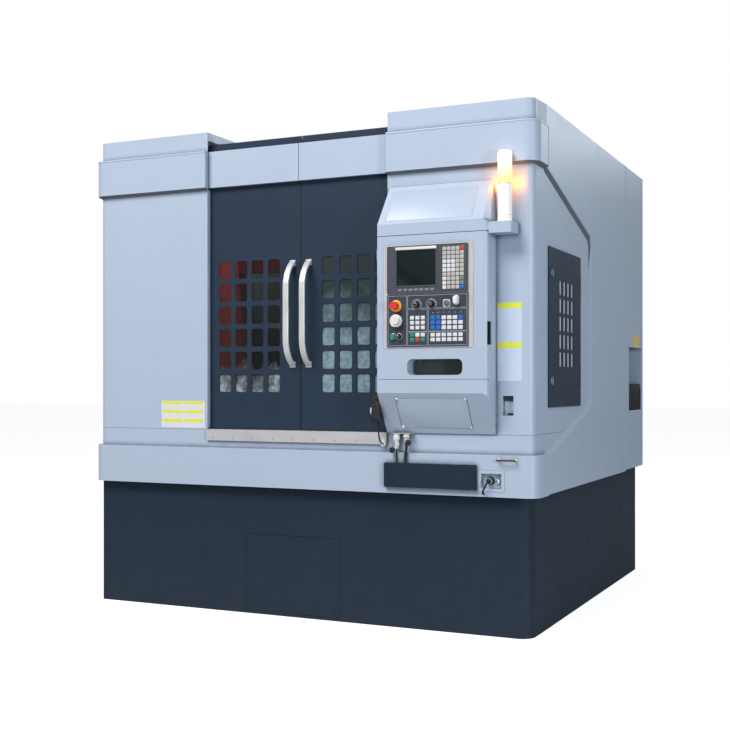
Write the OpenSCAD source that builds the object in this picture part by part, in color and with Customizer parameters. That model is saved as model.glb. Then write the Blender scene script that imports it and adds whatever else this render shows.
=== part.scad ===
// Vertical turning lathe with a two-door enclosure and a front console.
// X runs to the machine's right, -Y is the front, +Z is up, the floor is Z = 0.

/* [Overall] */
// Width between the cabinets' outer side faces
body_w = 2560; // [2200:10:3000]
// Height of the cabinets above the floor
body_h = 2600; // [2450:10:2900]
// Depth from the main front face to the back of the side walls
body_d = 2460; // [2300:10:2900]
// Depth that the rear door stands behind the side walls
rear_d = 90; // [60:5:140]

/* [Base and lower cover] */
// Height of the dark base skirt
base_h = 690; // [600:10:800]
// Inset of the skirt from the main faces
base_inset = 20; // [10:1:40]
// Radius of the skirt's upright corners
base_r = 70; // [30:5:120]
// Top of the proud lower band
band_low_top = 886; // [860:2:920]
// Height of the deck where cabinets and doors begin
deck_z = 982; // [960:2:1020]
// Distance that the bands stand proud of the main faces
band_proud = 25; // [10:1:40]

/* [Cabinets] */
// Width of the left cabinet's front
left_w = 722; // [600:2:800]
// Width of the right cabinet's front
right_w = 764; // [700:2:840]
// Bottom of the proud upper band
band_up_bot = 2296; // [2200:2:2400]
// Height of the proud upper band
band_up_h = 199; // [120:1:260]
// Radius of the cabinets' upright corners
corner_r = 40; // [20:2:60]
// Sheet thickness of cabinets and covers
sheet = 4; // [3:0.5:6]
// Distance that the side panels stand proud
side_proud = 12; // [8:1:20]

/* [Sliding doors] */
// Overlap of a closed door behind its cabinet
door_lap = 42; // [30:2:80]
// Depth of the door face behind the main front face
door_y = 35; // [30:1:45]
// Thickness of a door
door_t = 30; // [20:1:32]
// Opening stroke of the left door
left_travel = 460; // [300:5:470]
// Opening stroke of the right door
right_travel = 420; // [300:5:430]
// Window width
win_w = 75; // [60:1:85]
// Window height
win_h = 98; // [80:1:105]
// Distance between window columns
win_px = 101; // [95:1:110]
// Distance between window rows
win_pz = 122.5; // [115:0.5:130]
// Distance of the first window column from the doors' meeting line
win_x0 = 125; // [110:1:140]
// Bottom of the lowest window row
win_z0 = 1184; // [1160:1:1200]
// Length of a bow handle
handle_l = 540; // [400:10:600]
// Reach of a bow handle from the door
handle_reach = 84; // [70:1:90]

/* [Console] */
// Width of the console
con_w = 575; // [520:5:600]
// Depth of the console in front of the cabinet
con_d = 128; // [110:2:150]
// Bottom of the swinging front
con_door_bot = 1250; // [1220:5:1280]
// Top of the swinging front
con_door_top = 1956; // [1900:4:1990]
// Thickness of the swinging front
con_door_t = 28; // [20:1:34]
// Height of the signal lamp above its shelf
lamp_h = 340; // [250:2:360]
// Diameter of the signal lamp
lamp_d = 68; // [50:2:80]

/* [Turning unit] */
// Diameter of the chuck
chuck_d = 500; // [400:10:560]
// Width across a jaw
jaw_w = 50; // [40:2:60]
// Diameter of the spindle nose
spindle_d = 220; // [160:5:260]
// Radial running clearance of spindle and screws
run_gap = 0.08; // [0.02:0.01:0.1]
// Width of the ram
ram_w = 180; // [140:5:220]
// Diameter of the feed screws
screw_d = 40; // [25:1:50]

/* [Hidden] */
gap = 0.3;
seam = 1.5;
knob_proud = 48;
cy = (rear_d - con_d - knob_proud) / 2;
fy = -body_d / 2 - cy;
xl = -body_w / 2;
xr = body_w / 2;
lx = xl + left_w;
rx = xr - right_w;
door_w = max(rx, -lx) + door_lap;
ry = fy + body_d;
wrap = 171;
ecab_y = fy + body_d - 520;
band_up_top = band_up_bot + band_up_h;
cx0 = rx + 1;
cx1 = cx0 + con_w;
cyf = fy - con_d;
pan_y = cyf - 2;
acc_x0 = -325;
acc_x1 = 238;
acc_z0 = 15;
acc_z1 = 428;
chuck_y = fy + 560;
chuck_top = 1105;
bed_top = 640;
post_x = max(rx, -lx) + 4;
post_out = post_x + 288;
meet = 1.5;
vent_y0 = fy + 236;
vent_y1 = fy + 856;
vent_z0 = 1112;
vent_z1 = 1914;
panel_grey = [0.70, 0.76, 0.84];
slate = [0.13, 0.18, 0.24];
$fn = 48;

// ---- helpers -------------------------------------------------------------

// Box from its lowest to its highest corner
module span(a, b) { translate(a) cube(b - a); }

// Cylinder along Y, its front end at the given point
module rod_y(p, d, l) { translate(p) rotate([-90, 0, 0]) cylinder(d = d, h = l); }

// Cylinder along X, its left end at the given point
module rod_x(p, d, l) { translate(p) rotate([0, 90, 0]) cylinder(d = d, h = l); }

// Rectangle with round corners, from its lowest to its highest corner
module round_rect(a, b, r) {
    translate([a.x + r, a.y]) square([b.x - a.x - 2 * r, b.y - a.y]);
    translate([a.x, a.y + r]) square([b.x - a.x, b.y - a.y - 2 * r]);
    for (x = [a.x + r, b.x - r], y = [a.y + r, b.y - r]) translate([x, y]) circle(r);
}

// Plate facing -Y: its outline is drawn in X and Z, its front face is at y
module plate_xz(y, t) { translate([0, y + t, 0]) rotate([90, 0, 0]) linear_extrude(t) children(); }

// Plate facing +X: its outline is drawn in Y and Z, its left face is at x
module plate_yz(x, t) { translate([x, 0, 0]) rotate([90, 0, 90]) linear_extrude(t) children(); }

// Plan of the machine out to a distance e from the main faces
module plan(e, r) {
    round_rect([xl - e, fy - e], [xr + e, ry - e], r);
}

// Front strip of a plan ring, back to the wrap line
module front_ring(e, r, t, y1) {
    intersection() {
        difference() {
            round_rect([xl - e, fy - e], [xr + e, ry + 300], r);
            round_rect([xl - e + t, fy - e + t], [xr + e - t, ry + 300 - t], max(r - t, 2));
        }
        translate([xl - 100, fy - 100]) square([body_w + 200, y1 - fy + 100]);
    }
}

// Tube swept along points; rings are eight-sided
function unit(v) = v / norm(v);
function tangent(p, i) =
    unit(p[min(i + 1, len(p) - 1)] - p[max(i - 1, 0)]);
function side_dir(t) = abs(t.y) > 0.9 ? unit(cross(t, [1, 0, 0])) : unit(cross(t, [0, 1, 0]));
function ring_point(p, i, r, k) =
    let (t = tangent(p, i), u = side_dir(t), v = cross(t, u))
    p[i] + r * (cos(45 * k) * u + sin(45 * k) * v);
module swept_tube(p, d) {
    n = len(p);
    polyhedron(
        points = [for (i = [0 : n - 1], k = [0 : 7]) ring_point(p, i, d / 2, k)],
        faces = concat(
            [[for (k = [0 : 7]) k]],
            [for (i = [0 : n - 2], k = [0 : 7])
                [8 * i + k, 8 * i + 8 + k, 8 * i + 8 + (k + 1) % 8, 8 * i + (k + 1) % 8]],
            [[for (k = [7 : -1 : 0]) 8 * (n - 1) + k]]
        )
    );
}

// ---- base ----------------------------------------------------------------

// Plan of the skirt, drawn in by t: its right corners are round, its left
// side stands nearly flush with the cabinets and has tight corners
module skirt_plan(t) {
    i = base_inset + t;
    translate([0, fy + i]) square([xr - i - base_r, ry - fy - 2 * i]);
    round_rect([-base_r, fy + i], [xr - i, ry - i], base_r - t);
    round_rect([xl + 2 + t, fy + i], [base_r, ry - i], 12 - t);
}

module base_casing() {
    color(slate) difference() {
        linear_extrude(base_h) difference() {
            skirt_plan(0);
            skirt_plan(sheet);
        }
        span([acc_x0, fy, acc_z0], [acc_x1, fy + 60, acc_z1]);
    }
}

module base_access_panel() {
    y = fy + base_inset;
    color(slate) {
        span([acc_x0 + 2, y, acc_z0 + 2], [acc_x1 - 2, y + sheet, acc_z1 - 2]);
        span([acc_x0 - 18, y + sheet, 4], [acc_x1 + 18, y + sheet + 3, acc_z1 + 18]);
    }
}

module machine_bed() {
    color("dimgray") difference() {
        span([-post_out - 30, fy + 110, 80], [post_out + 30, fy + 1900, bed_top]);
        for (s = [-1, 1])
            span([min(s * 20, s * (post_out - 10)), fy + 150, 79],
                [max(s * 20, s * (post_out - 10)), fy + 1860, 570]);
        translate([0, chuck_y, 560]) cylinder(d = 300, h = 100);
    }
}

module levelling_feet() {
    color("gray") for (x = [-1, 0, 1] * (post_out + 10), y = [fy + 130, fy + 1008, fy + 1880]) translate([x, y, 0]) {
        cylinder(d = 110, h = 22);
        cylinder(d = 28, h = 60);
        translate([0, 0, 60]) cylinder(d = 46, h = 20, $fn = 6);
    }
}

// ---- lower cover and sill ------------------------------------------------

module lower_cover() {
    y1 = fy + wrap;
    color(panel_grey) difference() {
        union() {
            translate([0, 0, base_h - 8]) linear_extrude(band_low_top - base_h + 8)
                front_ring(band_proud, corner_r + band_proud, sheet, y1);
            translate([0, 0, band_low_top - sheet]) linear_extrude(sheet)
                front_ring(band_proud, corner_r + band_proud, band_proud + sheet, y1);
            translate([0, 0, band_low_top - sheet]) linear_extrude(deck_z - band_low_top + sheet)
                front_ring(0, corner_r, sheet, fy + 620);
            translate([0, 0, deck_z - sheet]) linear_extrude(sheet)
                front_ring(0, corner_r, 30, y1);
            translate([0, 0, base_h]) linear_extrude(sheet)
                front_ring(band_proud, corner_r + band_proud, band_proud + base_inset + 40, y1);
        }
        span([sock_x - 62, fy - 60, sock_z - 46], [sock_x + 62, fy + 2, sock_z + 46]);
    }
}

sock_x = rx + 558;
sock_z = 759;
module socket_plate() {
    y = fy - band_proud;
    color("lightgray") {
        difference() {
            plate_xz(y - 2, 2) round_rect([sock_x - 67, sock_z - 51], [sock_x + 67, sock_z + 51], 6);
            span([sock_x - 52, y - 5, sock_z - 36], [sock_x + 52, y + 5, sock_z + 36]);
        }
        difference() {
            span([sock_x - 58, y, sock_z - 42], [sock_x + 58, y + 26, sock_z + 42]);
            span([sock_x - 52, y - 1, sock_z - 36], [sock_x + 52, y + 23, sock_z + 36]);
        }
        rod_y([sock_x - 10, y - 6, sock_z], 34, 29);
        rod_y([sock_x + 30, y + 9, sock_z], 24, 14);
    }
}

// Points of the plug's lead, measured from the right cabinet's edge, the main
// front face and the plug's axis
plug_route = [
    [548, -31, 0], [548, -35, 0], [547.5, -42, -1.5], [546, -48, -5.5], [543, -52, -11.5],
    [540, -53.5, -19], [535, -53.5, -29], [530, -53.5, -38], [526, -52.5, -46],
    [523, -48.5, -53.5], [521, -42, -58.5], [520, -34, -61], [520, -29, -61.5], [520, -25, -61.5]
];
module plug_cord() {
    color("black") swept_tube(
        [for (p = plug_route) [rx + p.x, fy + p.y, sock_z + p.z]], 9);
}

module door_sill() {
    color("silver") {
        span([lx + 1, fy - 12, 924], [rx - 1, fy - 10, deck_z + 2]);
        span([lx + 1, fy - 12, deck_z], [rx - 1, fy + door_y + door_t + 20, deck_z + 2]);
        span([lx + 1, fy - 12, 924], [rx - 1, fy, 926]);
    }
}

// Shallow dark cover that takes the console's leads
module name_plate() {
    color(slate) span([rx, fy - band_proud - 22, 714], [rx + 484, fy - band_proud, plate_top]);
}
plate_top = 835;

module band_handle() {
    z = band_low_top - 24;
    y = fy - band_proud;
    x = rx + 640;
    color("silver") {
        span([x - 50, y - 3, z - 9], [x - 34, y, z + 9]);
        span([x + 34, y - 3, z - 9], [x + 50, y, z + 9]);
        rod_y([x - 42, y - 26, z], 9, 23);
        rod_y([x + 42, y - 26, z], 9, 23);
        rod_x([x - 46, y - 26, z], 9, 92);
    }
}

// ---- cabinets ------------------------------------------------------------

// One cabinet drawn for the right side; the left one is mirrored.
// Its front runs from x0 to the side wall at x1.
module cabinet_shell(x0, x1) {
    y1 = ecab_y - 1;
    translate([0, 0, deck_z + seam]) linear_extrude(body_h - deck_z - seam) difference() {
        corner_plan(x0, fy, x1, corner_r, y1);
        corner_plan(x0 - 50, fy + sheet, x1 - sheet, corner_r - sheet, y1 + 50);
    }
    translate([0, 0, body_h - sheet]) linear_extrude(sheet)
        corner_plan(x0, fy, x1, corner_r, y1);
    // proud band with its ledges
    translate([0, 0, band_up_bot]) linear_extrude(band_up_h) difference() {
        corner_plan(x0, fy - band_proud, x1 + band_proud, corner_r + band_proud, fy + wrap);
        corner_plan(x0 - 50, fy - band_proud + sheet, x1 + band_proud - sheet,
            corner_r + band_proud - sheet, fy + wrap + 50);
    }
    for (z = [band_up_bot, band_up_top - sheet]) translate([0, 0, z]) linear_extrude(sheet) difference() {
        corner_plan(x0, fy - band_proud, x1 + band_proud, corner_r + band_proud, fy + wrap);
        corner_plan(x0 - 50, fy + 1, x1 - 1, corner_r - 1, fy + wrap + 50);
    }
    span([x0, fy - band_proud, band_up_bot], [x0 + sheet, fy, band_up_top]);
    // band's rear end on the side
    span([x1, fy + wrap - sheet, band_up_bot], [x1 + band_proud, fy + wrap, band_up_top]);
    // return flange beside the doors, header over the door slot
    span([x0, fy, deck_z + 4], [x0 + sheet, fy + door_y - 5, band_up_bot - 10]);
    span([x0, fy, band_up_bot - 10], [x0 + sheet, fy + 6, 2556]);
    span([x0, fy, 2556], [x0 + sheet, y1, body_h]);
}

// Plan region with one round corner at the front right
module corner_plan(x0, y0, x1, r, y1) {
    translate([x0, y0]) square([x1 - x0 - r, y1 - y0]);
    translate([x0, y0 + r]) square([x1 - x0, y1 - y0 - r]);
    translate([x1 - r, y0 + r]) circle(r);
}

module left_cabinet() {
    color(panel_grey) {
        mirror([1, 0, 0]) cabinet_shell(-lx, xr);
        span([xl - side_proud, fy + wrap + 0.5, base_h - 8], [xl, ecab_y - 1, body_h]);
    }
}

module right_cabinet() {
    px = rx + 608;
    color(panel_grey) difference() {
        union() {
            cabinet_shell(rx, xr);
            span([px - 4, fy + sheet, 1072], [px + 58, fy + 44, 1175]);
        }
        span([px, fy - 5, 1076], [px + 54, fy + 40, 1171]);
        span([xr - 10, vent_y0 + 12, vent_z0 + 12], [xr + 10, vent_y1 - 12, vent_z1 - 12]);
    }
}

// Raised side panel with the chamfered recess open to the front
module right_side_panel() {
    y0 = fy + wrap + 0.5;
    y1 = ecab_y - 1;
    yr = fy + 1075;
    color(panel_grey) difference() {
        plate_yz(xr, side_proud) polygon([
            [y0, base_h - 8], [y1, base_h - 8], [y1, body_h], [y0, body_h]]);
        hull() {
            plate_yz(xr - 1, 1) polygon([
                [y0 - 400, band_up_bot + 40], [y0, band_up_bot - 30], [yr - 60, 2025], [yr - 36, 1990],
                [yr - 36, 1160], [yr - 75, 1112], [y0, band_low_top], [y0 - 400, band_low_top - 80]]);
            plate_yz(xr + side_proud, 1) polygon([
                [y0 - 400, band_up_bot + 80], [y0, band_up_bot + 8], [yr - 36, 2062], [yr, 2010],
                [yr, 1140], [yr - 45, 1084], [y0, band_low_top - 34], [y0 - 400, band_low_top - 120]]);
        }
    }
}

// ---- rear of the machine -------------------------------------------------

pock_y0 = fy + 2035;
pock_y1 = fy + 2405;
pock_z0 = 1062;
pock_z1 = 1468;
// Sheet panels of the rear cabinet: the walls meet at hairline joints
module electrical_cabinet() {
    x0 = xl - side_proud;
    x1 = xr + side_proud;
    xi0 = x0 + sheet + gap;
    xi1 = x1 - sheet - gap;
    yi0 = ecab_y + sheet + gap;
    yi1 = ry - sheet - gap;
    color(panel_grey) {
        span([x0, ecab_y, base_h], [x0 + sheet, ry, body_h]);
        span([xi0, ecab_y, base_h], [xi1, ecab_y + sheet, body_h]);
        for (z = [base_h, body_h - sheet]) span([xi0, yi0, z], [xi1, yi1, z + sheet]);
        difference() {
            span([x1 - sheet, ecab_y, base_h], [x1, ry, body_h]);
            span([x1 - 20, pock_y0, pock_z0], [x1 + 1, pock_y1, pock_z1]);
        }
        difference() {
            span([xi0, ry - sheet, base_h], [xi1, ry, body_h]);
            span([-30, ry - 20, 740], [1220, ry + 10, 2480]);
        }
        difference() {
            span([xr - 224, pock_y0 - 4, pock_z0 - 4], [xi1, pock_y1 + 4, pock_z1 + 4]);
            span([xr - 220, pock_y0, pock_z0], [x1, pock_y1, pock_z1]);
        }
    }
}

module side_pocket() {
    x0 = xr - 220 + gap;
    x1 = xr + side_proud - 6;
    color("dimgray") {
        // bin in the lower part
        difference() {
            span([x0, pock_y0 + 2, pock_z0 + gap], [x1, pock_y1 - 2, pock_z0 + 165]);
            span([x0 + 4, pock_y0 + 6, pock_z0 + 6], [x1 - 4, pock_y1 - 6, pock_z0 + 166]);
        }
        // air service unit on the back wall
        span([x0, pock_y0 + 90, pock_z0 + 250], [x0 + 60, pock_y0 + 280, pock_z0 + 330]);
        translate([x0 + 70, pock_y0 + 130, pock_z0 + 190]) cylinder(d = 64, h = 175);
        translate([x0 + 70, pock_y0 + 235, pock_z0 + 190]) cylinder(d = 64, h = 175);
    }
}

hinge_r = 7;
module cabinet_door() {
    color(panel_grey) difference() {
        span([-60, ry + gap, 700], [1240, ry + rear_d, 2540]);
        span([-56, ry, 704], [1236, ry + rear_d - sheet, 2536]);
    }
    color(panel_grey) rod_z([1240 + hinge_r - 3, ry + hinge_r + gap, 1100], 2 * hinge_r, 900);
}

module rod_z(p, d, l) { translate(p) cylinder(d = d, h = l); }

// ---- inside --------------------------------------------------------------

// Splash plates of the work area, each a flat sheet on its own
module work_area_liner() {
    y0 = fy + 430;
    y1 = fy + 1000;
    x1 = post_x - gap;
    hole = 210;
    color("dimgray") {
        for (x = [-post_x - 3, post_x]) span([x, y0, 950], [x + 3, y1, 2440]);
        span([-x1, y1 - 3, 950], [x1, y1, 1250]);
        span([-x1, fy + 90, 950], [x1, chuck_y - hole - gap, 954]);
        span([-x1, chuck_y + hole + gap, 950], [x1, y1 - 3 - gap, 954]);
        span([-x1, chuck_y - hole, 950], [-hole, chuck_y + hole, 954]);
        span([hole, chuck_y - hole, 950], [x1, chuck_y + hole, 954]);
    }
}

module column() {
    color("maroon") {
        for (s = [-1, 1]) {
            span([min(s * post_x, s * post_out), fy + 122, bed_top],
                [max(s * post_x, s * post_out), fy + 430, 2440]);
            span([min(s * (post_x + 38), s * post_out), fy + 430, 2120],
                [max(s * (post_x + 38), s * post_out), fy + 1180, 2440]);
        }
        span([-post_x, fy + 330, 1862], [post_x, fy + 400, 2000]);
        difference() {
            span([-post_out, fy + 1180, bed_top], [post_out, fy + 1700, 2440]);
            span([90 - post_out, fy + 1240, bed_top - 1], [post_out - 90, fy + 1701, 2380]);
        }
        for (z = [1700, 2060]) span([-520, fy + 1140, z], [520, fy + 1180, z + 60]);
        difference() {
            for (x = [-520, 460]) span([x, fy + 1060, 1880], [x + 60, fy + 1180, 1960]);
            rod_x([-600, fy + 1100, 1920], screw_d + 2 * run_gap, 1200);
        }
    }
}

module x_screw() {
    color("silver") rod_x([-515, fy + 1100, 1920], screw_d, 1030);
}

// Saddle on the two ways, ram guide in front of it
sad_y0 = chuck_y + ram_w / 2 - 10;
module x_saddle() {
    w = ram_w / 2;
    color("dimgray") difference() {
        union() {
            span([-190, sad_y0 + 60, 1660], [190, fy + 1140 - gap, 2160]);
            span([-w - 60, chuck_y - w - 30, 1700], [w + 60, sad_y0 + 60, 2130]);
            span([-100, sad_y0 + 20, 2290], [100, sad_y0 + 170, 2480]);
            for (x = [-100, 60]) span([x, sad_y0 + 60, 2130], [x + 40, sad_y0 + 170, 2300]);
        }
        span([-w - gap, chuck_y - w - gap, 1650], [w + gap, chuck_y + w + gap, 2200]);
        span([-44, chuck_y + w, 1740], [44, sad_y0 + 135, 2270]);
        for (z = [1700, 2060]) span([-200, fy + 1140 - gap, z - gap], [200, fy + 1185, z + 60 + gap]);
        rod_x([-250, fy + 1100, 1920], screw_d + 2 * run_gap, 500);
        rod_z([0, sad_y0 + 95, 1700 - gap], screw_d + 2 * run_gap, 700 + 2 * gap);
    }
}

module z_ram() {
    w = ram_w / 2;
    color("silver") {
        span([-w, chuck_y - w, 1690], [w, chuck_y + w, 2560]);
        difference() {
            span([-40, chuck_y + w, 2200], [40, sad_y0 + 130, 2260]);
            rod_z([0, sad_y0 + 95, 2190], screw_d + 2 * run_gap, 80);
        }
    }
}

module z_screw() {
    color("silver") rod_z([0, sad_y0 + 95, 1700], screw_d, 700);
}

module turret() {
    color("gray") {
        translate([0, chuck_y, 1640]) cylinder(d = 200, h = 50 - gap);
        translate([0, chuck_y, 1560]) cylinder(d = 280, h = 80, $fn = 8);
        for (a = [0 : 90 : 270]) translate([0, chuck_y, 1590]) rotate([0, 0, a + 22.5])
            difference() {
                translate([120, -25, -25]) cube([70, 50, 50]);
                translate([170, 0, -30]) cylinder(d = 26, h = 60);
            }
    }
}

module spindle_housing() {
    color("dimgray") {
        difference() {
            union() {
                translate([0, chuck_y, bed_top]) cylinder(d = 560, h = 60);
                translate([0, chuck_y, bed_top + 60]) cylinder(d = 400, h = 290);
            }
            translate([0, chuck_y, 699]) cylinder(d = spindle_d + 2 * run_gap, h = 400);
        }
        translate([0, chuck_y, 571]) cylinder(d = 290, h = 80);
    }
}

module chuck() {
    color("silver") difference() {
        union() {
            translate([0, chuck_y, 700]) cylinder(d = spindle_d, h = 310);
            translate([0, chuck_y, 1000]) cylinder(d = chuck_d, h = chuck_top - 1000);
        }
        translate([0, chuck_y, 699]) cylinder(d = 70, h = 500);
        for (a = [90 : 120 : 330]) translate([0, chuck_y, 0]) rotate([0, 0, a])
            translate([70, -jaw_w / 2 - gap, chuck_top - 30]) cube([300, jaw_w + 2 * gap, 60]);
    }
}

module jaw(a) {
    color("gray") translate([0, chuck_y, chuck_top - 30 + gap]) rotate([0, 0, a]) {
        translate([110, -jaw_w / 2, 0]) cube([120, jaw_w, 60]);
        translate([150, -jaw_w / 2, 60]) cube([80, jaw_w, 25]);
    }
}
module jaw_a() { jaw(90); }
module jaw_b() { jaw(210); }
module jaw_c() { jaw(330); }

// ---- sliding doors -------------------------------------------------------

door_z0 = deck_z + 2 + gap;
door_z1 = 2540;
rail_y = fy + door_y + door_t + 12;
rail_z1 = 2530;
module door_rail() {
    color("silver") {
        span([xl + 60, rail_y, 2470], [xr - 60, rail_y + 8, rail_z1]);
        for (x = [xl + 60, lx - 60, -30, rx + 60, xr - 120])
            span([x, rail_y + 8, 2470], [x + 60, fy + 122 , 2500]);
        for (s = [-1, 1])
            span([min(s * (post_x + 58), s * (post_x + 218)), fy + 122, 2440],
                [max(s * (post_x + 58), s * (post_x + 218)), fy + 200, 2500]);
    }
}

// Right door: sheet with a grid of windows, its rear folds and the hanger shoes
module door_body() {
    yb = fy + door_y;
    difference() {
        span([meet, yb, door_z0], [door_w, yb + door_t, 2500]);
        span([4, yb + sheet, door_z0 + 4], [door_w - 4, yb + door_t + 1, 2490]);
        windows() plate_xz(yb - 1, 11) round_rect([0, 0], [win_w, win_h], 15);
    }
    // hanger flange above the door with two guide shoes over the rail
    span([meet, yb + 16, 2500], [door_w, yb + 20, door_z1]);
    for (x = [60, door_w - 120]) {
        span([x, yb + 20, rail_z1 + gap], [x + 60, rail_y + 14, door_z1]);
        span([x, yb + 20, 2500], [x + 60, rail_y - gap, rail_z1 + gap]);
    }
}

// Places its child at every window's lower left corner of the right door
module windows() {
    for (i = [0 : 3], j = [0 : 5])
        translate([win_x0 + win_px * i, 0, win_z0 + win_pz * j]) children();
}

module door_glass() {
    span([win_x0 - 25, fy + door_y + sheet, win_z0 - 24],
        [win_x0 + 3 * win_px + win_w + 37, fy + door_y + sheet + 6, win_z0 + 5 * win_pz + win_h + 30]);
}

module door_band() {
    span([meet, fy + 10, 2298], [door_w, fy + door_y, 2494]);
}

// Bow handle: a flat bar that curves out from the door to a straight grip.
// Each bend has its distance from the handle's end and from the door.
bends = [[0, 8], [46, 58], [110, handle_reach]];
bar_w = 30;
bar_t = 14;
module bow_handle() {
    yb = fy + door_y;
    z0 = 1600 - handle_l / 2;
    z1 = 1600 + handle_l / 2;
    x = 48;
    difference() {
        hull() for (b = bends, z = [z0 + b.x, z1 - b.x])
            translate([x, yb - b.y, z]) rotate([-90, 0, 0])
                cylinder(r = bar_w / 2, h = min(b.y, bar_t), $fn = 24);
        hull() for (b = bends, z = [z0 + b.x + 34 - b.x / 5, z1 - b.x - 34 + b.x / 5])
            translate([x - 40, yb + 1 - max(b.y - bar_t + 1, 0), z]) cube([80, 1, 1]);
    }
}

module left_door() { color(slate) mirror([1, 0, 0]) door_body(); }
module right_door() { color(slate) door_body(); }
module left_door_glass() { color("darkslategray") mirror([1, 0, 0]) door_glass(); }
module right_door_glass() { color("darkslategray") door_glass(); }
module left_door_band() { color(panel_grey) mirror([1, 0, 0]) door_band(); }
module right_door_band() { color(panel_grey) door_band(); }
module left_handle() { color("silver") mirror([1, 0, 0]) bow_handle(); }
module right_handle() { color("silver") bow_handle(); }

// ---- side vent door ------------------------------------------------------

module vent_door() {
    x = xr + gap;
    color(slate) {
        difference() {
            span([x, vent_y0, vent_z0], [x + 5, vent_y1, vent_z1]);
            for (i = [0 : 3], j = [0 : 4])
                span([x - 1, vent_y0 + 196 + 75 * i, 1318 + 91.5 * j],
                    [x + 6, vent_y0 + 242 + 75 * i, 1391 + 91.5 * j]);
            for (z = latch_z) rod_x([x - 1, vent_y0 + 50, z], 24 + 2 * run_gap, 8);
        }
        for (z = [vent_z0 + 100, vent_z1 - 220]) {
            rod_z([x + 2.5, vent_y1 + 3, z], 5, 120);
            span([x + 1, vent_y1 - 1, z], [x + 4, vent_y1 + 3, z + 120]);
        }
    }
}

latch_z = [1244, 1785];
module latch(z) {
    x = xr + gap;
    color("gray") {
        rod_x([x, vent_y0 + 50, z], 24, 5);
        rod_x([x + 5 + 0.1, vent_y0 + 50, z], 36, 4);
        span([x + 5.1, vent_y0 + 45, z - 22], [x + 16, vent_y0 + 55, z + 22]);
        rod_x([x + 4.9, vent_y0 + 50, z], 20, 1);
    }
}
module upper_latch() { latch(latch_z[1]); }
module lower_latch() { latch(latch_z[0]); }

// ---- console -------------------------------------------------------------

slope_top = 1184;
slope_bot = 984;
slope_back = 8;
slope_a = atan((con_d - slope_back) / (slope_top - slope_bot));
function slope_y(z) = cyf + (slope_top - z) * (con_d - slope_back) / (slope_top - slope_bot);

// Side outline of the console in Y and Z
module console_side() {
    polygon([
        [fy, slope_bot], [fy - slope_back, slope_bot], [cyf, slope_top], [cyf, 2016], [fy - 4, 2218], [fy, 2218]
    ]);
}

module console_housing() {
    hr = 30;
    color(panel_grey) {
        difference() {
            plate_yz(cx0, con_w) console_side();
            // room for the swinging front
            span([cx0 - 1, cyf - 1, con_door_bot], [cx1 + 1, cyf + con_door_t, con_door_top + 3]);
            // hollow behind it
            span([cx0 + 6, cyf + con_door_t - 1, con_door_bot + 6], [cx1 - 6, fy - 6, con_door_top - 6]);
            // rounded right front edge
            difference() {
                span([cx1 - hr, cyf - 1, slope_top - 250], [cx1 + 1, cyf + hr, con_door_bot]);
                rod_z([cx1 - hr, cyf + hr, slope_top - 260], 2 * hr, 500);
            }
            // the same edge on the lip, and its bevel up the hood
            difference() {
                span([cx1 - hr, cyf - 1, con_door_top], [cx1 + 1, cyf + hr, 2014]);
                rod_z([cx1 - hr, cyf + hr, con_door_top - 10], 2 * hr, 80);
            }
            intersection() {
                translate([cx1, cyf, 2016]) rotate([-hood_a, 0, 0]) translate([0, 0, -60])
                    linear_extrude(360) polygon([[-hr, -5], [60, -5], [60, 85]]);
                span([cx1 - 80, cyf - 30, 2016], [cx1 + 80, fy + 20, 2240]);
            }
            // grip slot, its front half in the swinging front
            grip_slot();
            // sides of the hood lean in
            for (s = [0, 1]) translate([s == 0 ? cx0 : cx1, 0, 2016]) rotate([0, s == 0 ? 4 : -4, 0])
                span([s == 0 ? -60 : 0, cyf - 20, 0], [s == 0 ? 0 : 60, fy - 0.5, 260]);
        }
        // shelf of the lamp, joined to the lip behind its round edge
        translate([0, 0, 1946]) linear_extrude(shelf_top - 1946) {
            translate([cx1, fy - 116]) square([84, 116]);
            translate([cx1 + 84, fy - 86]) square([30, 86]);
            translate([cx1 + 84, fy - 86]) circle(30);
        }
        span([cx1 - 14, fy - 116, con_door_top + 4], [cx1 + 1, fy - 60, shelf_top]);
        for (z = [con_door_bot + 60, con_door_top - 160]) {
            rod_z([hinge_x, hinge_y, z], 2 * hinge_r, 50);
            span([hinge_x, cyf + con_door_t + 2, z], [cx0, cyf + con_door_t + 8, z + 50]);
            rod_z([hinge_x, hinge_y, z], 6, 100);
        }
    }
}
shelf_top = 2000;
hood_a = atan((con_d - 4) / (2218 - 2016));
hinge_x = cx0 - hinge_r - 0.5;
hinge_y = cyf + con_door_t + hinge_r / 2;

// Upright finger slot round the console's right front edge
module grip_slot() { span([cx1 - 34, cyf + 10, 1416], [cx1 + 2, cyf + 57, 1527]); }

// Tray of the console: its opening out to a depth, grown by g all round
tray_d = 88;
module tray_space(y, l, g) {
    plate_xz(y, l) round_rect([cx0 + 160 - g, 1272 - g], [cx0 + 447 + g, 1350 + g], 26 + g);
}

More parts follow.
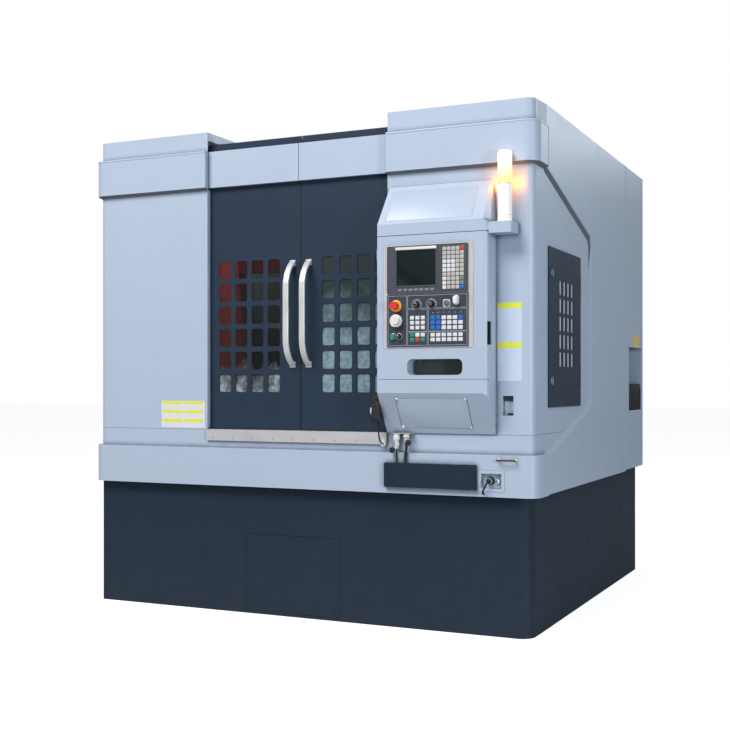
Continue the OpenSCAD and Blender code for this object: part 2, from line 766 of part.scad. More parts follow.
// Swinging console front with its tray and one half of the grip slot
module console_door() {
    z0 = con_door_bot + 2;
    z1 = con_door_top;
    r = 30;
    y1 = cyf + con_door_t - gap;
    color(panel_grey) {
        difference() {
            union() {
                translate([0, 0, z0]) linear_extrude(z1 - z0) difference() {
                    corner_plan(cx0, cyf, cx1, r - gap - 3, y1);
                    translate([cx0 - 1, y1]) square([con_w + 2, 60]);
                }
                tray_space(y1 - 1, tray_d - con_door_t, 3);
            }
            span([cx0 + 40, cyf + 8, z0 + 106], [cx1 - 90, y1 + 1, z1 - 8]);
            grip_slot();
            tray_space(cyf - 1, tray_d - 3, 0);
            control_holes(cyf - 1, 1, 30);
        }
        for (z = [con_door_bot + 60, con_door_top - 160]) difference() {
            union() {
                rod_z([hinge_x, hinge_y, z + 50 + gap], 2 * hinge_r, 50);
                span([hinge_x - 2, cyf + 14, z + 50 + gap], [cx0 + 1, cyf + con_door_t - gap, z + 100 + gap]);
            }
            rod_z([hinge_x, hinge_y, z], 6 + 2 * run_gap, 120);
        }
    }
}

pc_x = cx0 + con_w / 2 - 20;
module backing_plate() {
    color("silver") difference() {
        plate_xz(pan_y, 2) round_rect([cx0 + 36, 1404], [cx0 + 502, 1910], 4);
        control_holes(pan_y - 1, 1, 4);
    }
}

module display_unit() {
    y = pan_y - 8;
    color([0.25, 0.28, 0.33]) difference() {
        plate_xz(y, 8) round_rect([cx0 + 57, 1670], [cx0 + 477, 1903], 5);
        plate_xz(y - 1, 6) round_rect([cx0 + 109, 1708], [cx0 + 313, 1880], 3);
    }
}

op_y = pan_y - 4;
module operator_panel() {
    color([0.2, 0.23, 0.28]) difference() {
        plate_xz(op_y, 4) round_rect([cx0 + 55, 1410], [cx0 + 480, 1666], 4);
        control_holes(op_y - 1, run_gap, 10);
    }
}

// Controls: distance from the console's left side, height, stem diameter
controls = [
    [104, 1611, 22], [110, 1538, 16], [88, 1461, 12], [120, 1461, 10],
    [213, 1615, 10], [291, 1616, 10], [369, 1617, 16]
];
// Bores for all the controls' stems, from y backwards, with a radial clearance
module control_holes(y, clear, l) {
    for (p = controls) rod_y([cx0 + p[0], y, p[1]], p[2] + 2 * clear, l);
}
module stem(i, l = 4) { rod_y([cx0 + controls[i][0], op_y, controls[i][1]], controls[i][2], l - 0.1); }
module cap(i, d, y, l) { rod_y([cx0 + controls[i][0], op_y - y - l, controls[i][1]], d, l); }

module estop_button() {
    color("red") {
        rod_y([cx0 + controls[0][0], op_y - 12, controls[0][1]], 22, 15.9);
        cap(0, 40, 11, 27);
    }
}
module handwheel() {
    color("white") {
        stem(1);
        cap(1, 20, 0, 10);
        cap(1, 62, 8, 14);
        cap(1, 34, 20, 12);
        rod_y([cx0 + controls[1][0] + 20, op_y - 42, controls[1][1] + 8], 12, 24);
    }
}
module cycle_button() { color("green") { stem(2); cap(2, 25, 6, 7); cap(2, 12, 0, 7); } }
module mode_selector() {
    color("black") {
        stem(3);
        cap(3, 27, 0.3, 10);
        x = cx0 + controls[3][0];
        z = controls[3][1];
        span([x - 3.5, op_y - 20, z - 13], [x + 3.5, op_y - 8, z + 13]);
        cap(3, 10, 0, 2);
    }
}
module dial(i) {
    color("black") {
        stem(i);
        cap(i, 33, 0.3, 14);
        cap(i, 24, 14, 6);
        cap(i, 10, 0, 2);
    }
}
module feed_dial() { dial(4); }
module speed_dial() { dial(5); }
module key_switch() {
    color("silver") {
        stem(6);
        cap(6, 24, 0.3, 8);
        cap(6, 16, 0, 2);
        x = cx0 + controls[6][0];
        z = controls[6][1];
        span([x - 1.2, op_y - 30, z - 8], [x + 1.2, op_y - 8, z + 8]);
    }
}

con_bx = [cx0 + 62, cx0 + 116];
module console_connectors() {
    color("silver") {
        span([cx0 + 40, fy - 50, slope_bot - 3], [cx0 + 146, fy, slope_bot]);
        translate([con_bx[0], fy - 32, 906]) cylinder(d = 32, h = 78);
        translate([con_bx[0], fy - 32, 945]) cylinder(d = 36, h = 20);
        translate([con_bx[1], fy - 32, 934]) cylinder(d = 28, h = 50);
        translate([con_bx[1], fy - 32, 955]) cylinder(d = 33, h = 18);
        rod_y([con_bx[0] - 16, fy - 62, 899], 30, 14);
        rod_y([con_bx[1] + 17, fy - 60, 937], 30, 14);
    }
}

// Points of the hanging leads, measured from the console's left side, the
// main front face and the floor
signal_route = [
    [62, -32, 906], [62, -32, 898], [62, -32.3, 888], [62.2, -33, 878], [62.6, -34, 868],
    [62.9, -34.7, 858], [63, -35, 849], [63, -35, 835]
];
power_route = [
    [116, -32, 934], [116, -32, 924], [115.7, -32.5, 912], [115, -33.5, 900], [113.8, -34.6, 888],
    [112.4, -35.4, 876], [111.2, -35.9, 864], [110.5, -36, 852], [110.5, -36, 835]
];
pendant_route = [
    [-22, -66, 1041], [-22, -66, 1029], [-21.8, -66, 1016], [-21.4, -66, 1003], [-21, -66, 991],
    [-20.5, -65.5, 979], [-20, -63.5, 966], [-19.4, -58.5, 953], [-18.8, -50, 941.5],
    [-18.3, -39, 933], [-18, -26, 928], [-18, -17, 927], [-18, -12, 927]
];
module signal_cable() { color("black") swept_tube([for (p = signal_route) [cx0 + p.x, fy + p.y, p.z]], 7); }
module power_cable() { color("black") swept_tube([for (p = power_route) [cx0 + p.x, fy + p.y, p.z]], 14); }
module pendant_cord() { color("black") swept_tube([for (p = pendant_route) [cx0 + p.x, fy + p.y, p.z]], 8); }

pen_z = 1041;
module pendant() {
    color("black") {
        difference() {
            span([cx0 - 44, fy - 106, pen_z], [cx0 - 1.2, fy - 26, pen_z + 139]);
            rod_x([cx0 - 45, fy - 66, pen_z + 52], 12 + 2 * run_gap, 8);
        }
        span([cx0 - 2, fy - 30, pen_z + 90], [cx0 , fy - 10, pen_z + 130]);
    }
}
module pendant_dial() {
    color("white") {
        rod_x([cx0 - 44, fy - 66, pen_z + 52], 12, 6);
        rod_x([cx0 - 58, fy - 66, pen_z + 52], 50, 13.7);
        rod_x([cx0 - 45, fy - 66, pen_z + 52], 12, 3);
    }
}

lamp_x = cx1 + 63;
lamp_y = fy - band_proud - lamp_d / 2 - 2;
lens_z = 2184;
module lamp_body() {
    color("white") {
        translate([lamp_x, lamp_y, shelf_top]) cylinder(d = lamp_d + 8, h = 8);
        translate([lamp_x, lamp_y, shelf_top + 8]) cylinder(d = lamp_d, h = lens_z - shelf_top - 8);
    }
}
module lamp_lens() {
    color("orange") {
        translate([lamp_x, lamp_y, lens_z]) cylinder(d = lamp_d, h = shelf_top + lamp_h - 8 - lens_z);
        translate([lamp_x, lamp_y, shelf_top + lamp_h - 8]) cylinder(d = lamp_d - 8, h = 8);
    }
}

// ---- the model -----------------------------------------------------------

base_casing();
base_access_panel();
name_plate();
machine_bed();
levelling_feet();
lower_cover();
door_sill();
left_cabinet();
right_cabinet();
right_side_panel();
work_area_liner();
column();
spindle_housing();
door_rail();
console_housing();
console_connectors();
signal_cable();
power_cable();
lamp_body();
lamp_lens();
socket_plate();
plug_cord();
band_handle();
side_pocket();
electrical_cabinet();
cabinet_door();
left_door();
left_door_glass();
left_door_band();
left_handle();
right_door();
right_door_glass();
right_door_band();
right_handle();
vent_door();
upper_latch();
lower_latch();
console_door();
backing_plate();
display_unit();
operator_panel();
estop_button();
handwheel();
cycle_button();
mode_selector();
feed_dial();
speed_dial();
key_switch();
x_saddle();
z_ram();
turret();
x_screw();
z_screw();
chuck();
jaw_a();
jaw_b();
jaw_c();
pendant();
pendant_dial();
pendant_cord();
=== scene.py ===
# Looks of an enclosed vertical turning lathe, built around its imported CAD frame.
# X runs to the machine's right, -Y is the front, Z is up. Lengths are in metres.
import math

import bmesh
import bpy
from mathutils import Matrix, Vector


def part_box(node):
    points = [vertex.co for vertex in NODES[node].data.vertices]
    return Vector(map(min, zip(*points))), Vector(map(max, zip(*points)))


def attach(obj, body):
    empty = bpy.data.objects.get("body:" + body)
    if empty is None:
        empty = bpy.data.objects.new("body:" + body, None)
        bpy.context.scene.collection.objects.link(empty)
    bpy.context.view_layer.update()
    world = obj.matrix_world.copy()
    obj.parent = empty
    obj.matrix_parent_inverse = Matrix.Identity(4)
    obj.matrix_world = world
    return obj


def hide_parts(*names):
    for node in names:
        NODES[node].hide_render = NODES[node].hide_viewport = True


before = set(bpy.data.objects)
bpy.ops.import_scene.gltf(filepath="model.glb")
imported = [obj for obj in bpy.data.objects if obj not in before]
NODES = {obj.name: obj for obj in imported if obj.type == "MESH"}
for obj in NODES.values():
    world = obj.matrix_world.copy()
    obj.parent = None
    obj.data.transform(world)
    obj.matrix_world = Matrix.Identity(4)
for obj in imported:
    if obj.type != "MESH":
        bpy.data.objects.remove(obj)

MM = 0.001
FRONT, REAR, LEFT, RIGHT, UP, DOWN = (0, -1, 0), (0, 1, 0), (-1, 0, 0), (1, 0, 0), (0, 0, 1), (0, 0, -1)
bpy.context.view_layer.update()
scene = bpy.context.scene


# ---- camera -----------------------------------------------------------------

def place_camera(spot, yaw, lens, shift_y):
    """Camera that looks level along the yaw direction."""
    data = bpy.data.cameras.new("camera")
    data.sensor_width = 36
    data.lens = lens
    data.shift_y = shift_y
    data.clip_end = 100
    camera = bpy.data.objects.new("camera", data)
    camera.location = spot
    camera.rotation_euler = (math.pi / 2, 0, yaw)
    scene.collection.objects.link(camera)
    scene.camera = camera


PROUD = 0.025  # how far the bands stand out from the cabinets
FACE_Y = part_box("right_cabinet")[0].y + PROUD
place_camera((2.881, FACE_Y - 5.3195, 1.2215), yaw=math.radians(25.093), lens=56.82, shift_y=0.028)


# ---- mesh helpers -----------------------------------------------------------

def rounded(x0, z0, x1, z1, radius, steps=5):
    """Outline of a rectangle with round corners, as a list of points."""
    points = []
    corners = [(x1 - radius, z1 - radius, 0), (x0 + radius, z1 - radius, 90),
               (x0 + radius, z0 + radius, 180), (x1 - radius, z0 + radius, 270)]
    for cx, cz, start in corners:
        for k in range(steps + 1):
            angle = math.radians(start + 90 * k / steps)
            points.append((cx + radius * math.cos(angle), cz + radius * math.sin(angle)))
    return points


def placing(spot, x_way, y_way, z_way):
    """Matrix that puts a solid at a spot, its local X, Y and Z along three directions."""
    return Matrix.Translation(Vector(spot)) @ Matrix((x_way, y_way, z_way)).transposed().to_4x4()


def facing(spot, direction):
    """Matrix that puts a solid at a spot with its local Z along a direction."""
    z = Vector(direction).normalized()
    side = Vector(RIGHT) if abs(z.x) < 0.9 else Vector(REAR)
    y = z.cross(side).normalized()
    return placing(spot, y.cross(z).normalized(), y, z)


def front(y):
    """Places a plate so that its local X, Y and Z are the machine's X, Z and front."""
    return placing((0, y, 0), RIGHT, UP, FRONT)


def right_side(x):
    """Places a plate so that its local X, Y and Z are the machine's rear, Z and right."""
    return placing((x, 0, 0), REAR, UP, RIGHT)


def rear(x, y, z):
    """Places a plate so that its local X, Y and Z are the machine's left, Z and rear."""
    return placing((x, y, z), LEFT, UP, REAR)


class Piece:
    """Collects the solids of one piece, then makes its object."""

    def __init__(self, name, body, slot, *finishes):
        """Starts an empty piece with its body, slot and finishes."""
        self.name = name
        self.body = body
        self.slot = slot
        self.finishes = finishes
        self.mesh = bmesh.new()

    def add(self, part, finish, place=None):
        """Moves a finished solid into the piece."""
        if place is not None:
            bmesh.ops.transform(part, matrix=place, verts=part.verts)
        bmesh.ops.recalc_face_normals(part, faces=part.faces)
        for face in part.faces:
            face.material_index = finish
        holder = bpy.data.meshes.new("holder")
        part.to_mesh(holder)
        part.free()
        self.mesh.from_mesh(holder)
        bpy.data.meshes.remove(holder)

    def block(self, low, high, edge=0.0008, finish=0, steps=2, place=None):
        """Box with rounded edges."""
        part = bmesh.new()
        bmesh.ops.create_cube(part, size=1)
        size = Vector(high) - Vector(low)
        middle = (Vector(high) + Vector(low)) / 2
        bmesh.ops.scale(part, vec=size, verts=part.verts)
        bmesh.ops.translate(part, vec=middle, verts=part.verts)
        if edge:
            bmesh.ops.bevel(part, geom=part.edges[:], offset=edge, segments=steps,
                            profile=0.6, affect="EDGES")
        self.add(part, finish, place)

    def sheet(self, outline, thick, edge=0, finish=0, place=None, hole=None):
        """Plate from an outline in local X and Y, from Z = 0 up, its upper rim rounded by edge."""
        part = bmesh.new()
        levels = [(0, 0), (0, thick - edge)]
        if edge:
            levels += [(edge * 0.3, thick - edge * 0.3), (edge, thick)]
        loops = [self.level(part, outline, inset, height) for inset, height in levels]
        if hole:
            inner = [self.level(part, hole, -inset, height) for inset, height in levels]
            self.join_loops(part, loops)
            self.join_loops(part, inner)
            self.join_loops(part, [loops[0], inner[0]])
            self.join_loops(part, [loops[-1], inner[-1]])
        else:
            self.join_loops(part, loops)
            part.faces.new(loops[0][::-1])
            part.faces.new(loops[-1])
        self.add(part, finish, place)

    @staticmethod
    def level(part, outline, inset, height):
        """One ring of an outline, drawn in towards its middle by the inset."""
        xs = [p[0] for p in outline]
        ys = [p[1] for p in outline]
        mx, my = (min(xs) + max(xs)) / 2, (min(ys) + max(ys)) / 2
        half_x, half_y = (max(xs) - min(xs)) / 2, (max(ys) - min(ys)) / 2
        fx, fy = 1 - inset / half_x, 1 - inset / half_y
        return [part.verts.new((mx + (x - mx) * fx, my + (y - my) * fy, height)) for x, y in outline]

    @staticmethod
    def join_loops(part, loops):
        """Faces between rings that have the same number of points."""
        for lower, upper in zip(loops, loops[1:]):
            for k in range(len(lower)):
                n = (k + 1) % len(lower)
                part.faces.new((lower[k], lower[n], upper[n], upper[k]))

    def plate(self, x0, z0, x1, z1, radius, steps, thick, edge, finish, y, hole=None):
        """Upright plate with round corners, its back at a depth and its face to the front."""
        self.sheet(rounded(x0, z0, x1, z1, radius, steps), thick, edge, finish, front(y), hole)

    def disc(self, radius, thick, spot, axis, finish, steps):
        """Plain disc."""
        self.turned([(radius, 0), (radius, thick), (0, thick)], spot, axis, finish, steps)

    def turned(self, profile, spot, axis=UP, finish=0, steps=32, lobes=0, depth=0.0):
        """Solid turned from a profile of (radius, height) pairs; lobes scallop its rim."""
        part = bmesh.new()
        rings = []
        for radius, height in profile:
            if radius < 1e-6:
                rings.append([part.verts.new((0, 0, height))])
                continue
            ring = []
            for k in range(steps):
                angle = 2 * math.pi * k / steps
                r = radius * (1 - depth * (0.5 + 0.5 * math.cos(lobes * angle)))
                ring.append(part.verts.new((r * math.cos(angle), r * math.sin(angle), height)))
            rings.append(ring)
        for lower, upper in zip(rings, rings[1:]):
            self.skin(part, lower, upper, steps)
        for ring, flip in ((rings[0], True), (rings[-1], False)):
            if len(ring) > 1:
                part.faces.new(ring[::-1] if flip else ring)
        self.add(part, finish, facing(spot, axis))

    @staticmethod
    def skin(part, lower, upper, steps):
        """Faces between two turned rings, either of which may be a point."""
        for k in range(steps):
            n = (k + 1) % steps
            if len(lower) == 1:
                part.faces.new((lower[0], upper[n], upper[k]))
            elif len(upper) == 1:
                part.faces.new((lower[k], lower[n], upper[0]))
            else:
                part.faces.new((lower[k], lower[n], upper[n], upper[k]))

    def swept(self, points, section, finish=0, up=UP):
        """Section of (across, along up) pairs swept through points."""
        part = bmesh.new()
        points = [Vector(p) for p in points]
        rings = []
        last = len(points) - 1
        for i, point in enumerate(points):
            along = (points[min(i + 1, last)] - points[max(i - 1, 0)]).normalized()
            across = along.cross(Vector(up))
            if across.length < 0.15:
                across = along.cross(Vector(RIGHT))
            across.normalize()
            rise = across.cross(along).normalized()
            rings.append([part.verts.new(point + across * a + rise * b) for a, b in section])
        self.join_loops(part, rings)
        part.faces.new(rings[0][::-1])
        part.faces.new(rings[-1])
        self.add(part, finish)

    def tube(self, points, radius, finish=0, sides=12, up=UP):
        """Round bar or lead through points."""
        angles = [2 * math.pi * k / sides for k in range(sides)]
        section = [(radius * math.cos(angle), radius * math.sin(angle)) for angle in angles]
        self.swept(points, section, finish, up)

    def done(self, mirror=False, sharp=32):
        """Makes the object, mirrored to the machine's left if asked, on its body."""
        if mirror:
            bmesh.ops.scale(self.mesh, vec=(-1, 1, 1), verts=self.mesh.verts)
            bmesh.ops.reverse_faces(self.mesh, faces=self.mesh.faces)
        data = bpy.data.meshes.new(self.name)
        self.mesh.to_mesh(data)
        self.mesh.free()
        for finish in self.finishes:
            data.materials.append(finish)
        data.shade_smooth()
        data.set_sharp_from_angle(angle=math.radians(sharp))
        made = bpy.data.objects.new(self.name, data)
        scene.collection.objects.link(made)
        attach(made, self.body)
        return made


def smooth_path(points, steps=6):
    """Points on one smooth curve through the given ones."""
    points = [Vector(p) for p in points]
    ends = [points[0] * 2 - points[1]] + points + [points[-1] * 2 - points[-2]]
    path = []
    for i in range(1, len(ends) - 2):
        a, b, c, d = ends[i - 1:i + 3]
        for k in range(steps):
            t = k / steps
            path.append(0.5 * (2 * b + (c - a) * t + (2 * a - 5 * b + 4 * c - d) * t * t
                               + (3 * b - a - 3 * c + d) * t ** 3))
    path.append(points[-1])
    return path


# ---- shader groups ----------------------------------------------------------

def feed(socket, value):
    """Gives an input a number, a colour or another node's output."""
    if isinstance(value, bpy.types.NodeSocket):
        socket.id_data.links.new(value, socket)
    else:
        socket.default_value = value


def node_of(tree, kind, inputs=(), **settings):
    """New node with its settings and with (socket, value) pairs fed to its inputs."""
    made = tree.nodes.new(kind)
    for key, value in settings.items():
        setattr(made, key, value)
    for label, value in inputs:
        feed(made.inputs[label], value)
    return made


def new_group(name, inputs, outputs):
    """Shader node group with float inputs and outputs; gives what it is given and what it makes."""
    group = bpy.data.node_groups.new(name, "ShaderNodeTree")
    for label, default in inputs:
        socket = group.interface.new_socket(name=label, in_out="INPUT", socket_type="NodeSocketFloat")
        socket.default_value = default
    for label in outputs:
        group.interface.new_socket(name=label, in_out="OUTPUT", socket_type="NodeSocketFloat")
    return group, group.nodes.new("NodeGroupInput").outputs, group.nodes.new("NodeGroupOutput").inputs


def math_node(tree, operation, a, b, clamp=False):
    """Result of one sum on numbers or sockets."""
    made = node_of(tree, "ShaderNodeMath", ((0, a), (1, b)), operation=operation, use_clamp=clamp)
    return made.outputs[0]


def times(tree, a, b, clamp=False):
    """Product of two numbers or sockets."""
    return math_node(tree, "MULTIPLY", a, b, clamp)


def surface_place(tree):
    """The surface's place in its object's own frame."""
    return node_of(tree, "ShaderNodeTexCoord").outputs["Object"]


def height_of(tree, spot):
    """Height of a place over the floor."""
    return node_of(tree, "ShaderNodeSeparateXYZ", ((0, spot),)).outputs["Z"]


def noise(tree, spot, scale, detail, roughness=0.5, distortion=0.0):
    """Cloudy noise over a place."""
    made = node_of(tree, "ShaderNodeTexNoise", (("Vector", spot), ("Scale", scale), ("Detail", detail),
                                                ("Roughness", roughness), ("Distortion", distortion)))
    return made.outputs["Fac"]


def ranged(tree, value, low, high, source=(0.0, 1.0)):
    """A value turned from its source range to low..high."""
    made = node_of(tree, "ShaderNodeMapRange", (("Value", value), ("From Min", source[0]),
                                                ("From Max", source[1]), ("To Min", low), ("To Max", high)))
    return made.outputs["Result"]


def powder_coat_group():
    """Fine orange peel, slow drifts of tone and faint rubbed clouds of a painted sheet."""
    group, given, made = new_group("powder_coat", (("Peel", 900.0), ("Drift", 2.5), ("Contrast", 0.05)),
                                   ("Tone", "Rub", "Height"))
    spot = surface_place(group)
    drift = math_node(group, "SUBTRACT", noise(group, spot, given["Drift"], 5.0, 0.6), 0.5)
    spread = times(group, times(group, drift, given["Contrast"]), 2.0)
    feed(made["Tone"], math_node(group, "ADD", spread, 1.0))
    feed(made["Rub"], ranged(group, noise(group, spot, 9.0, 6.0, 0.7), 0.0, 1.0, (0.52, 0.78)))
    feed(made["Height"], noise(group, spot, given["Peel"], 2.0))
    return group


def edge_wear_group():
    """Mask of the rubbed rims of a solid, broken up by noise."""
    group, given, made = new_group("edge_wear", (("Width", 0.002), ("Amount", 0.6)), ("Mask",))
    soft = node_of(group, "ShaderNodeBevel", (("Radius", given["Width"]),), samples=4)
    hard = node_of(group, "ShaderNodeNewGeometry")
    bend = node_of(group, "ShaderNodeVectorMath",
                   ((0, soft.outputs["Normal"]), (1, hard.outputs["Normal"])), operation="DOT_PRODUCT")
    rim = times(group, math_node(group, "SUBTRACT", 1.0, bend.outputs["Value"]), 9.0, clamp=True)
    scuff = noise(group, surface_place(group), 60.0, 4.0)
    worn = times(group, rim, ranged(group, scuff, 0.0, 1.0, (0.42, 0.62)))
    feed(made["Mask"], times(group, worn, given["Amount"]))
    return group


def corner_shade_group():
    """Mask of painted shade in joints and inner corners, taken from ambient occlusion."""
    group, given, made = new_group("corner_shade", (("Reach", 0.03), ("Amount", 0.7)), ("Mask",))
    shelter = node_of(group, "ShaderNodeAmbientOcclusion", (("Distance", given["Reach"]),), samples=6)
    closed = math_node(group, "SUBTRACT", 1.0, shelter.outputs["AO"])
    deep = ranged(group, closed, 0.0, 1.0, (0.06, 0.62))
    uneven = ranged(group, noise(group, surface_place(group), 16.0, 5.0), 0.75, 1.0, (0.3, 0.6))
    feed(made["Mask"], times(group, times(group, deep, uneven), given["Amount"]))
    return group


def floor_dust_group():
    """Mask of dust and splashes that thins out upwards from the floor."""
    group, given, made = new_group("floor_dust", (("Top", 0.5), ("Amount", 0.3)), ("Mask",))
    spot = surface_place(group)
    fade = ranged(group, height_of(group, spot), 1.0, 0.0, (0.0, given["Top"]))
    dust = times(group, fade, noise(group, spot, 14.0, 8.0, 0.7))
    feed(made["Mask"], times(group, dust, given["Amount"]))
    return group


def brushed_group():
    """Long fine strokes of brushed or ground metal."""
    group, given, made = new_group("brushed", (("Along X", 3.0), ("Along Y", 3.0), ("Along Z", 900.0)),
                                   ("Stroke", "Patch"))
    spot = surface_place(group)
    density = node_of(group, "ShaderNodeCombineXYZ", [(axis, given["Along " + axis]) for axis in "XYZ"])
    drawn = node_of(group, "ShaderNodeVectorMath", ((0, spot), (1, density.outputs[0])),
                    operation="MULTIPLY")
    feed(made["Stroke"], noise(group, drawn.outputs[0], 1.0, 4.0, 0.65))
    feed(made["Patch"], noise(group, spot, 7.0, 4.0))
    return group


def moulded_group():
    """Fine spark-eroded grain of moulded plastic and rubber."""
    group, given, made = new_group("moulded", (("Grain", 1500.0),), ("Height", "Cloud"))
    spot = surface_place(group)
    grain = node_of(group, "ShaderNodeTexVoronoi", (("Vector", spot), ("Scale", given["Grain"])),
                    feature="SMOOTH_F1")
    feed(made["Height"], grain.outputs["Distance"])
    feed(made["Cloud"], noise(group, spot, 40.0, 3.0))
    return group


def coolant_haze_group():
    """Mask of dried coolant on a pane: thicker low down, mottled and smeared."""
    group, given, made = new_group(
        "coolant_haze", (("Low", 1.2), ("High", 1.8), ("Thick", 0.8), ("Blotch", 7.0)), ("Mask", "Speck"))
    spot = surface_place(group)
    smear = noise(group, spot, given["Blotch"], 6.0, 0.62, 0.8)
    ragged = times(group, math_node(group, "SUBTRACT", smear, 0.5), 0.45)
    line = math_node(group, "ADD", height_of(group, spot), ragged)
    thick = times(group, ranged(group, line, 1.0, 0.0, (given["Low"], given["High"])), given["Thick"])
    patchy = ranged(group, noise(group, spot, 42.0, 5.0, 0.7), 0.55, 1.0, (0.36, 0.60))
    feed(made["Mask"], math_node(group, "MINIMUM", times(group, thick, patchy), 1.0))
    feed(made["Speck"], noise(group, spot, 220.0, 2.0))
    return group


powder_coat = powder_coat_group()
edge_wear = edge_wear_group()
floor_dust = floor_dust_group()
corner_shade = corner_shade_group()
brushed = brushed_group()
moulded = moulded_group()
coolant_haze = coolant_haze_group()


# ---- finishes ---------------------------------------------------------------

def start_finish(name, **values):
    """Material with plain numbers on its own shader; gives the material and its tree."""
    made = bpy.data.materials.new(name)
    made.use_nodes = True
    shader = made.node_tree.nodes["Principled BSDF"]
    for label, value in values.items():
        shader.inputs[label.replace("_", " ")].default_value = value
    return made, made.node_tree


def use(tree, group, **values):
    """A shader group in a material, with its own values; gives what it makes."""
    inputs = [(label.replace("_", " "), value) for label, value in values.items()]
    return node_of(tree, "ShaderNodeGroup", inputs, node_tree=group).outputs


def toned(tree, colour, tone):
    """The colour made lighter or darker by a tone near 1."""
    return node_of(tree, "ShaderNodeVectorMath", ((0, colour), ("Scale", tone)),
                   operation="SCALE").outputs[0]


def over(tree, below, above, mask):
    """Colour above laid over the one below where the mask is 1; above may be a colour or a socket."""
    if isinstance(above, tuple):
        above = (*above, 1)
    layers = (("Factor", mask), ("A", below), ("B", above))
    return node_of(tree, "ShaderNodeMix", layers, data_type="RGBA").outputs["Result"]


def darker(colour, share):
    """Share of a colour."""
    return tuple(c * share for c in colour)


def end_finish(tree, base, rough, height, strength, distance):
    """Gives the shader its colour and roughness, and its normal the bump of a height."""
    raised = node_of(tree, "ShaderNodeBump", (("Strength", strength), ("Distance", distance),
                                              ("Height", height)))
    shader = tree.nodes["Principled BSDF"]
    for label, value in (("Base Color", base), ("Roughness", rough), ("Normal", raised.outputs["Normal"])):
        feed(shader.inputs[label], value)
    return shader.inputs


def painted(name, colour, worn, roughness=0.42, contrast=0.05, wear=0.35, dust=0.0, peel=900.0,
            depth=0.12, shine=0.5, joint_shade=0.0):
    """Sprayed or powder-coated sheet metal with rubbed edges, painted shade in joints and corners, and
    floor dust.
    """
    made, tree = start_finish(name, Specular_IOR_Level=shine)
    coat = use(tree, powder_coat, Peel=peel, Contrast=contrast)
    base = toned(tree, colour, coat["Tone"])
    base = over(tree, base, worn, use(tree, edge_wear, Width=0.0018, Amount=wear)["Mask"])
    # painted shade: joints and inner corners darkened where ambient occlusion is deep
    if joint_shade:
        base = over(tree, base, darker(colour, 0.10), use(tree, corner_shade, Amount=joint_shade)["Mask"])
    if dust:
        base = over(tree, base, (0.42, 0.42, 0.41), use(tree, floor_dust, Top=0.7, Amount=dust)["Mask"])
    rough = ranged(tree, coat["Rub"], roughness, roughness + 0.14)
    end_finish(tree, base, rough, coat["Height"], depth, 0.0004)
    return made


def metal(name, colour, roughness, strokes=(3.0, 3.0, 900.0), metallic=1.0):
    """Brushed, ground or anodised metal."""
    made, tree = start_finish(name, Metallic=metallic)
    lines = use(tree, brushed, Along_X=strokes[0], Along_Y=strokes[1], Along_Z=strokes[2])
    base = toned(tree, colour, ranged(tree, lines["Stroke"], 0.82, 1.14, (0.25, 0.75)))
    base = over(tree, base, darker(colour, 0.72), ranged(tree, lines["Patch"], 0.0, 0.5, (0.5, 0.8)))
    rough = ranged(tree, lines["Stroke"], roughness - 0.08, roughness + 0.1, (0.25, 0.75))
    end_finish(tree, base, rough, lines["Stroke"], 0.1, 0.0002)
    return made


def plastic(name, colour, roughness=0.45, grain=1500.0, depth=0.12, glow=0.0, worn=0.12):
    """Moulded plastic, film or rubber with a fine grain and lighter rims."""
    made, tree = start_finish(name)
    skin = use(tree, moulded, Grain=grain)
    base = toned(tree, colour, ranged(tree, skin["Cloud"], 0.92, 1.08))
    lighter = tuple(min(1.0, c * 1.35 + 0.04) for c in colour)
    base = over(tree, base, lighter, use(tree, edge_wear, Width=0.0008, Amount=worn)["Mask"])
    rough = ranged(tree, skin["Cloud"], roughness - 0.06, roughness + 0.08)
    shader = end_finish(tree, base, rough, skin["Height"], depth, 0.0003)
    if glow:
        feed(shader["Emission Color"], base)
        feed(shader["Emission Strength"], glow)
    return made


def pane(name, clear, haze, low, high, thick, blotch, alpha):
    """Door pane, dark where it is clean and pale where coolant has dried on it."""
    made, tree = start_finish(name)
    veil = use(tree, coolant_haze, Low=low, High=high, Thick=thick, Blotch=blotch)
    base = toned(tree, clear, ranged(tree, veil["Speck"], 0.8, 1.2))
    mottled = toned(tree, haze, ranged(tree, veil["Speck"], 0.8, 1.15))
    base = over(tree, base, mottled, veil["Mask"])
    rough = ranged(tree, veil["Mask"], 0.10, 0.5)
    shader = end_finish(tree, base, rough, veil["Speck"], 0.05, 0.0003)
    feed(shader["Alpha"], ranged(tree, veil["Mask"], alpha, 0.97))
    return made


def liner(name, colour, low_colour, low, high):
    """Splash sheet of the work area, near black and glossier below a ragged line."""
    made, tree = start_finish(name, Metallic=0.3)
    veil = use(tree, coolant_haze, Low=low, High=high, Thick=1.3, Blotch=5.0)
    base = toned(tree, colour, ranged(tree, veil["Speck"], 0.85, 1.15))
    base = over(tree, base, low_colour, veil["Mask"])
    end_finish(tree, base, ranged(tree, veil["Mask"], 0.5, 0.2), veil["Speck"], 0.1, 0.0003)
    return made


def lit_lens(name, foot, top, low_glow, high_glow, strength):
    """Frosted lens lit from inside, its glow changing colour from its foot to its top."""
    made, tree = start_finish(name, Emission_Strength=strength)
    skin = use(tree, moulded, Grain=400.0)
    height = ranged(tree, height_of(tree, surface_place(tree)), 0.0, 1.0, (foot, top))
    warm = toned(tree, low_glow, ranged(tree, skin["Cloud"], 0.96, 1.04))
    glow = over(tree, warm, high_glow, height)
    shader = end_finish(tree, glow, 0.35, skin["Height"], 0.1, 0.0003)
    feed(shader["Emission Color"], glow)
    return made


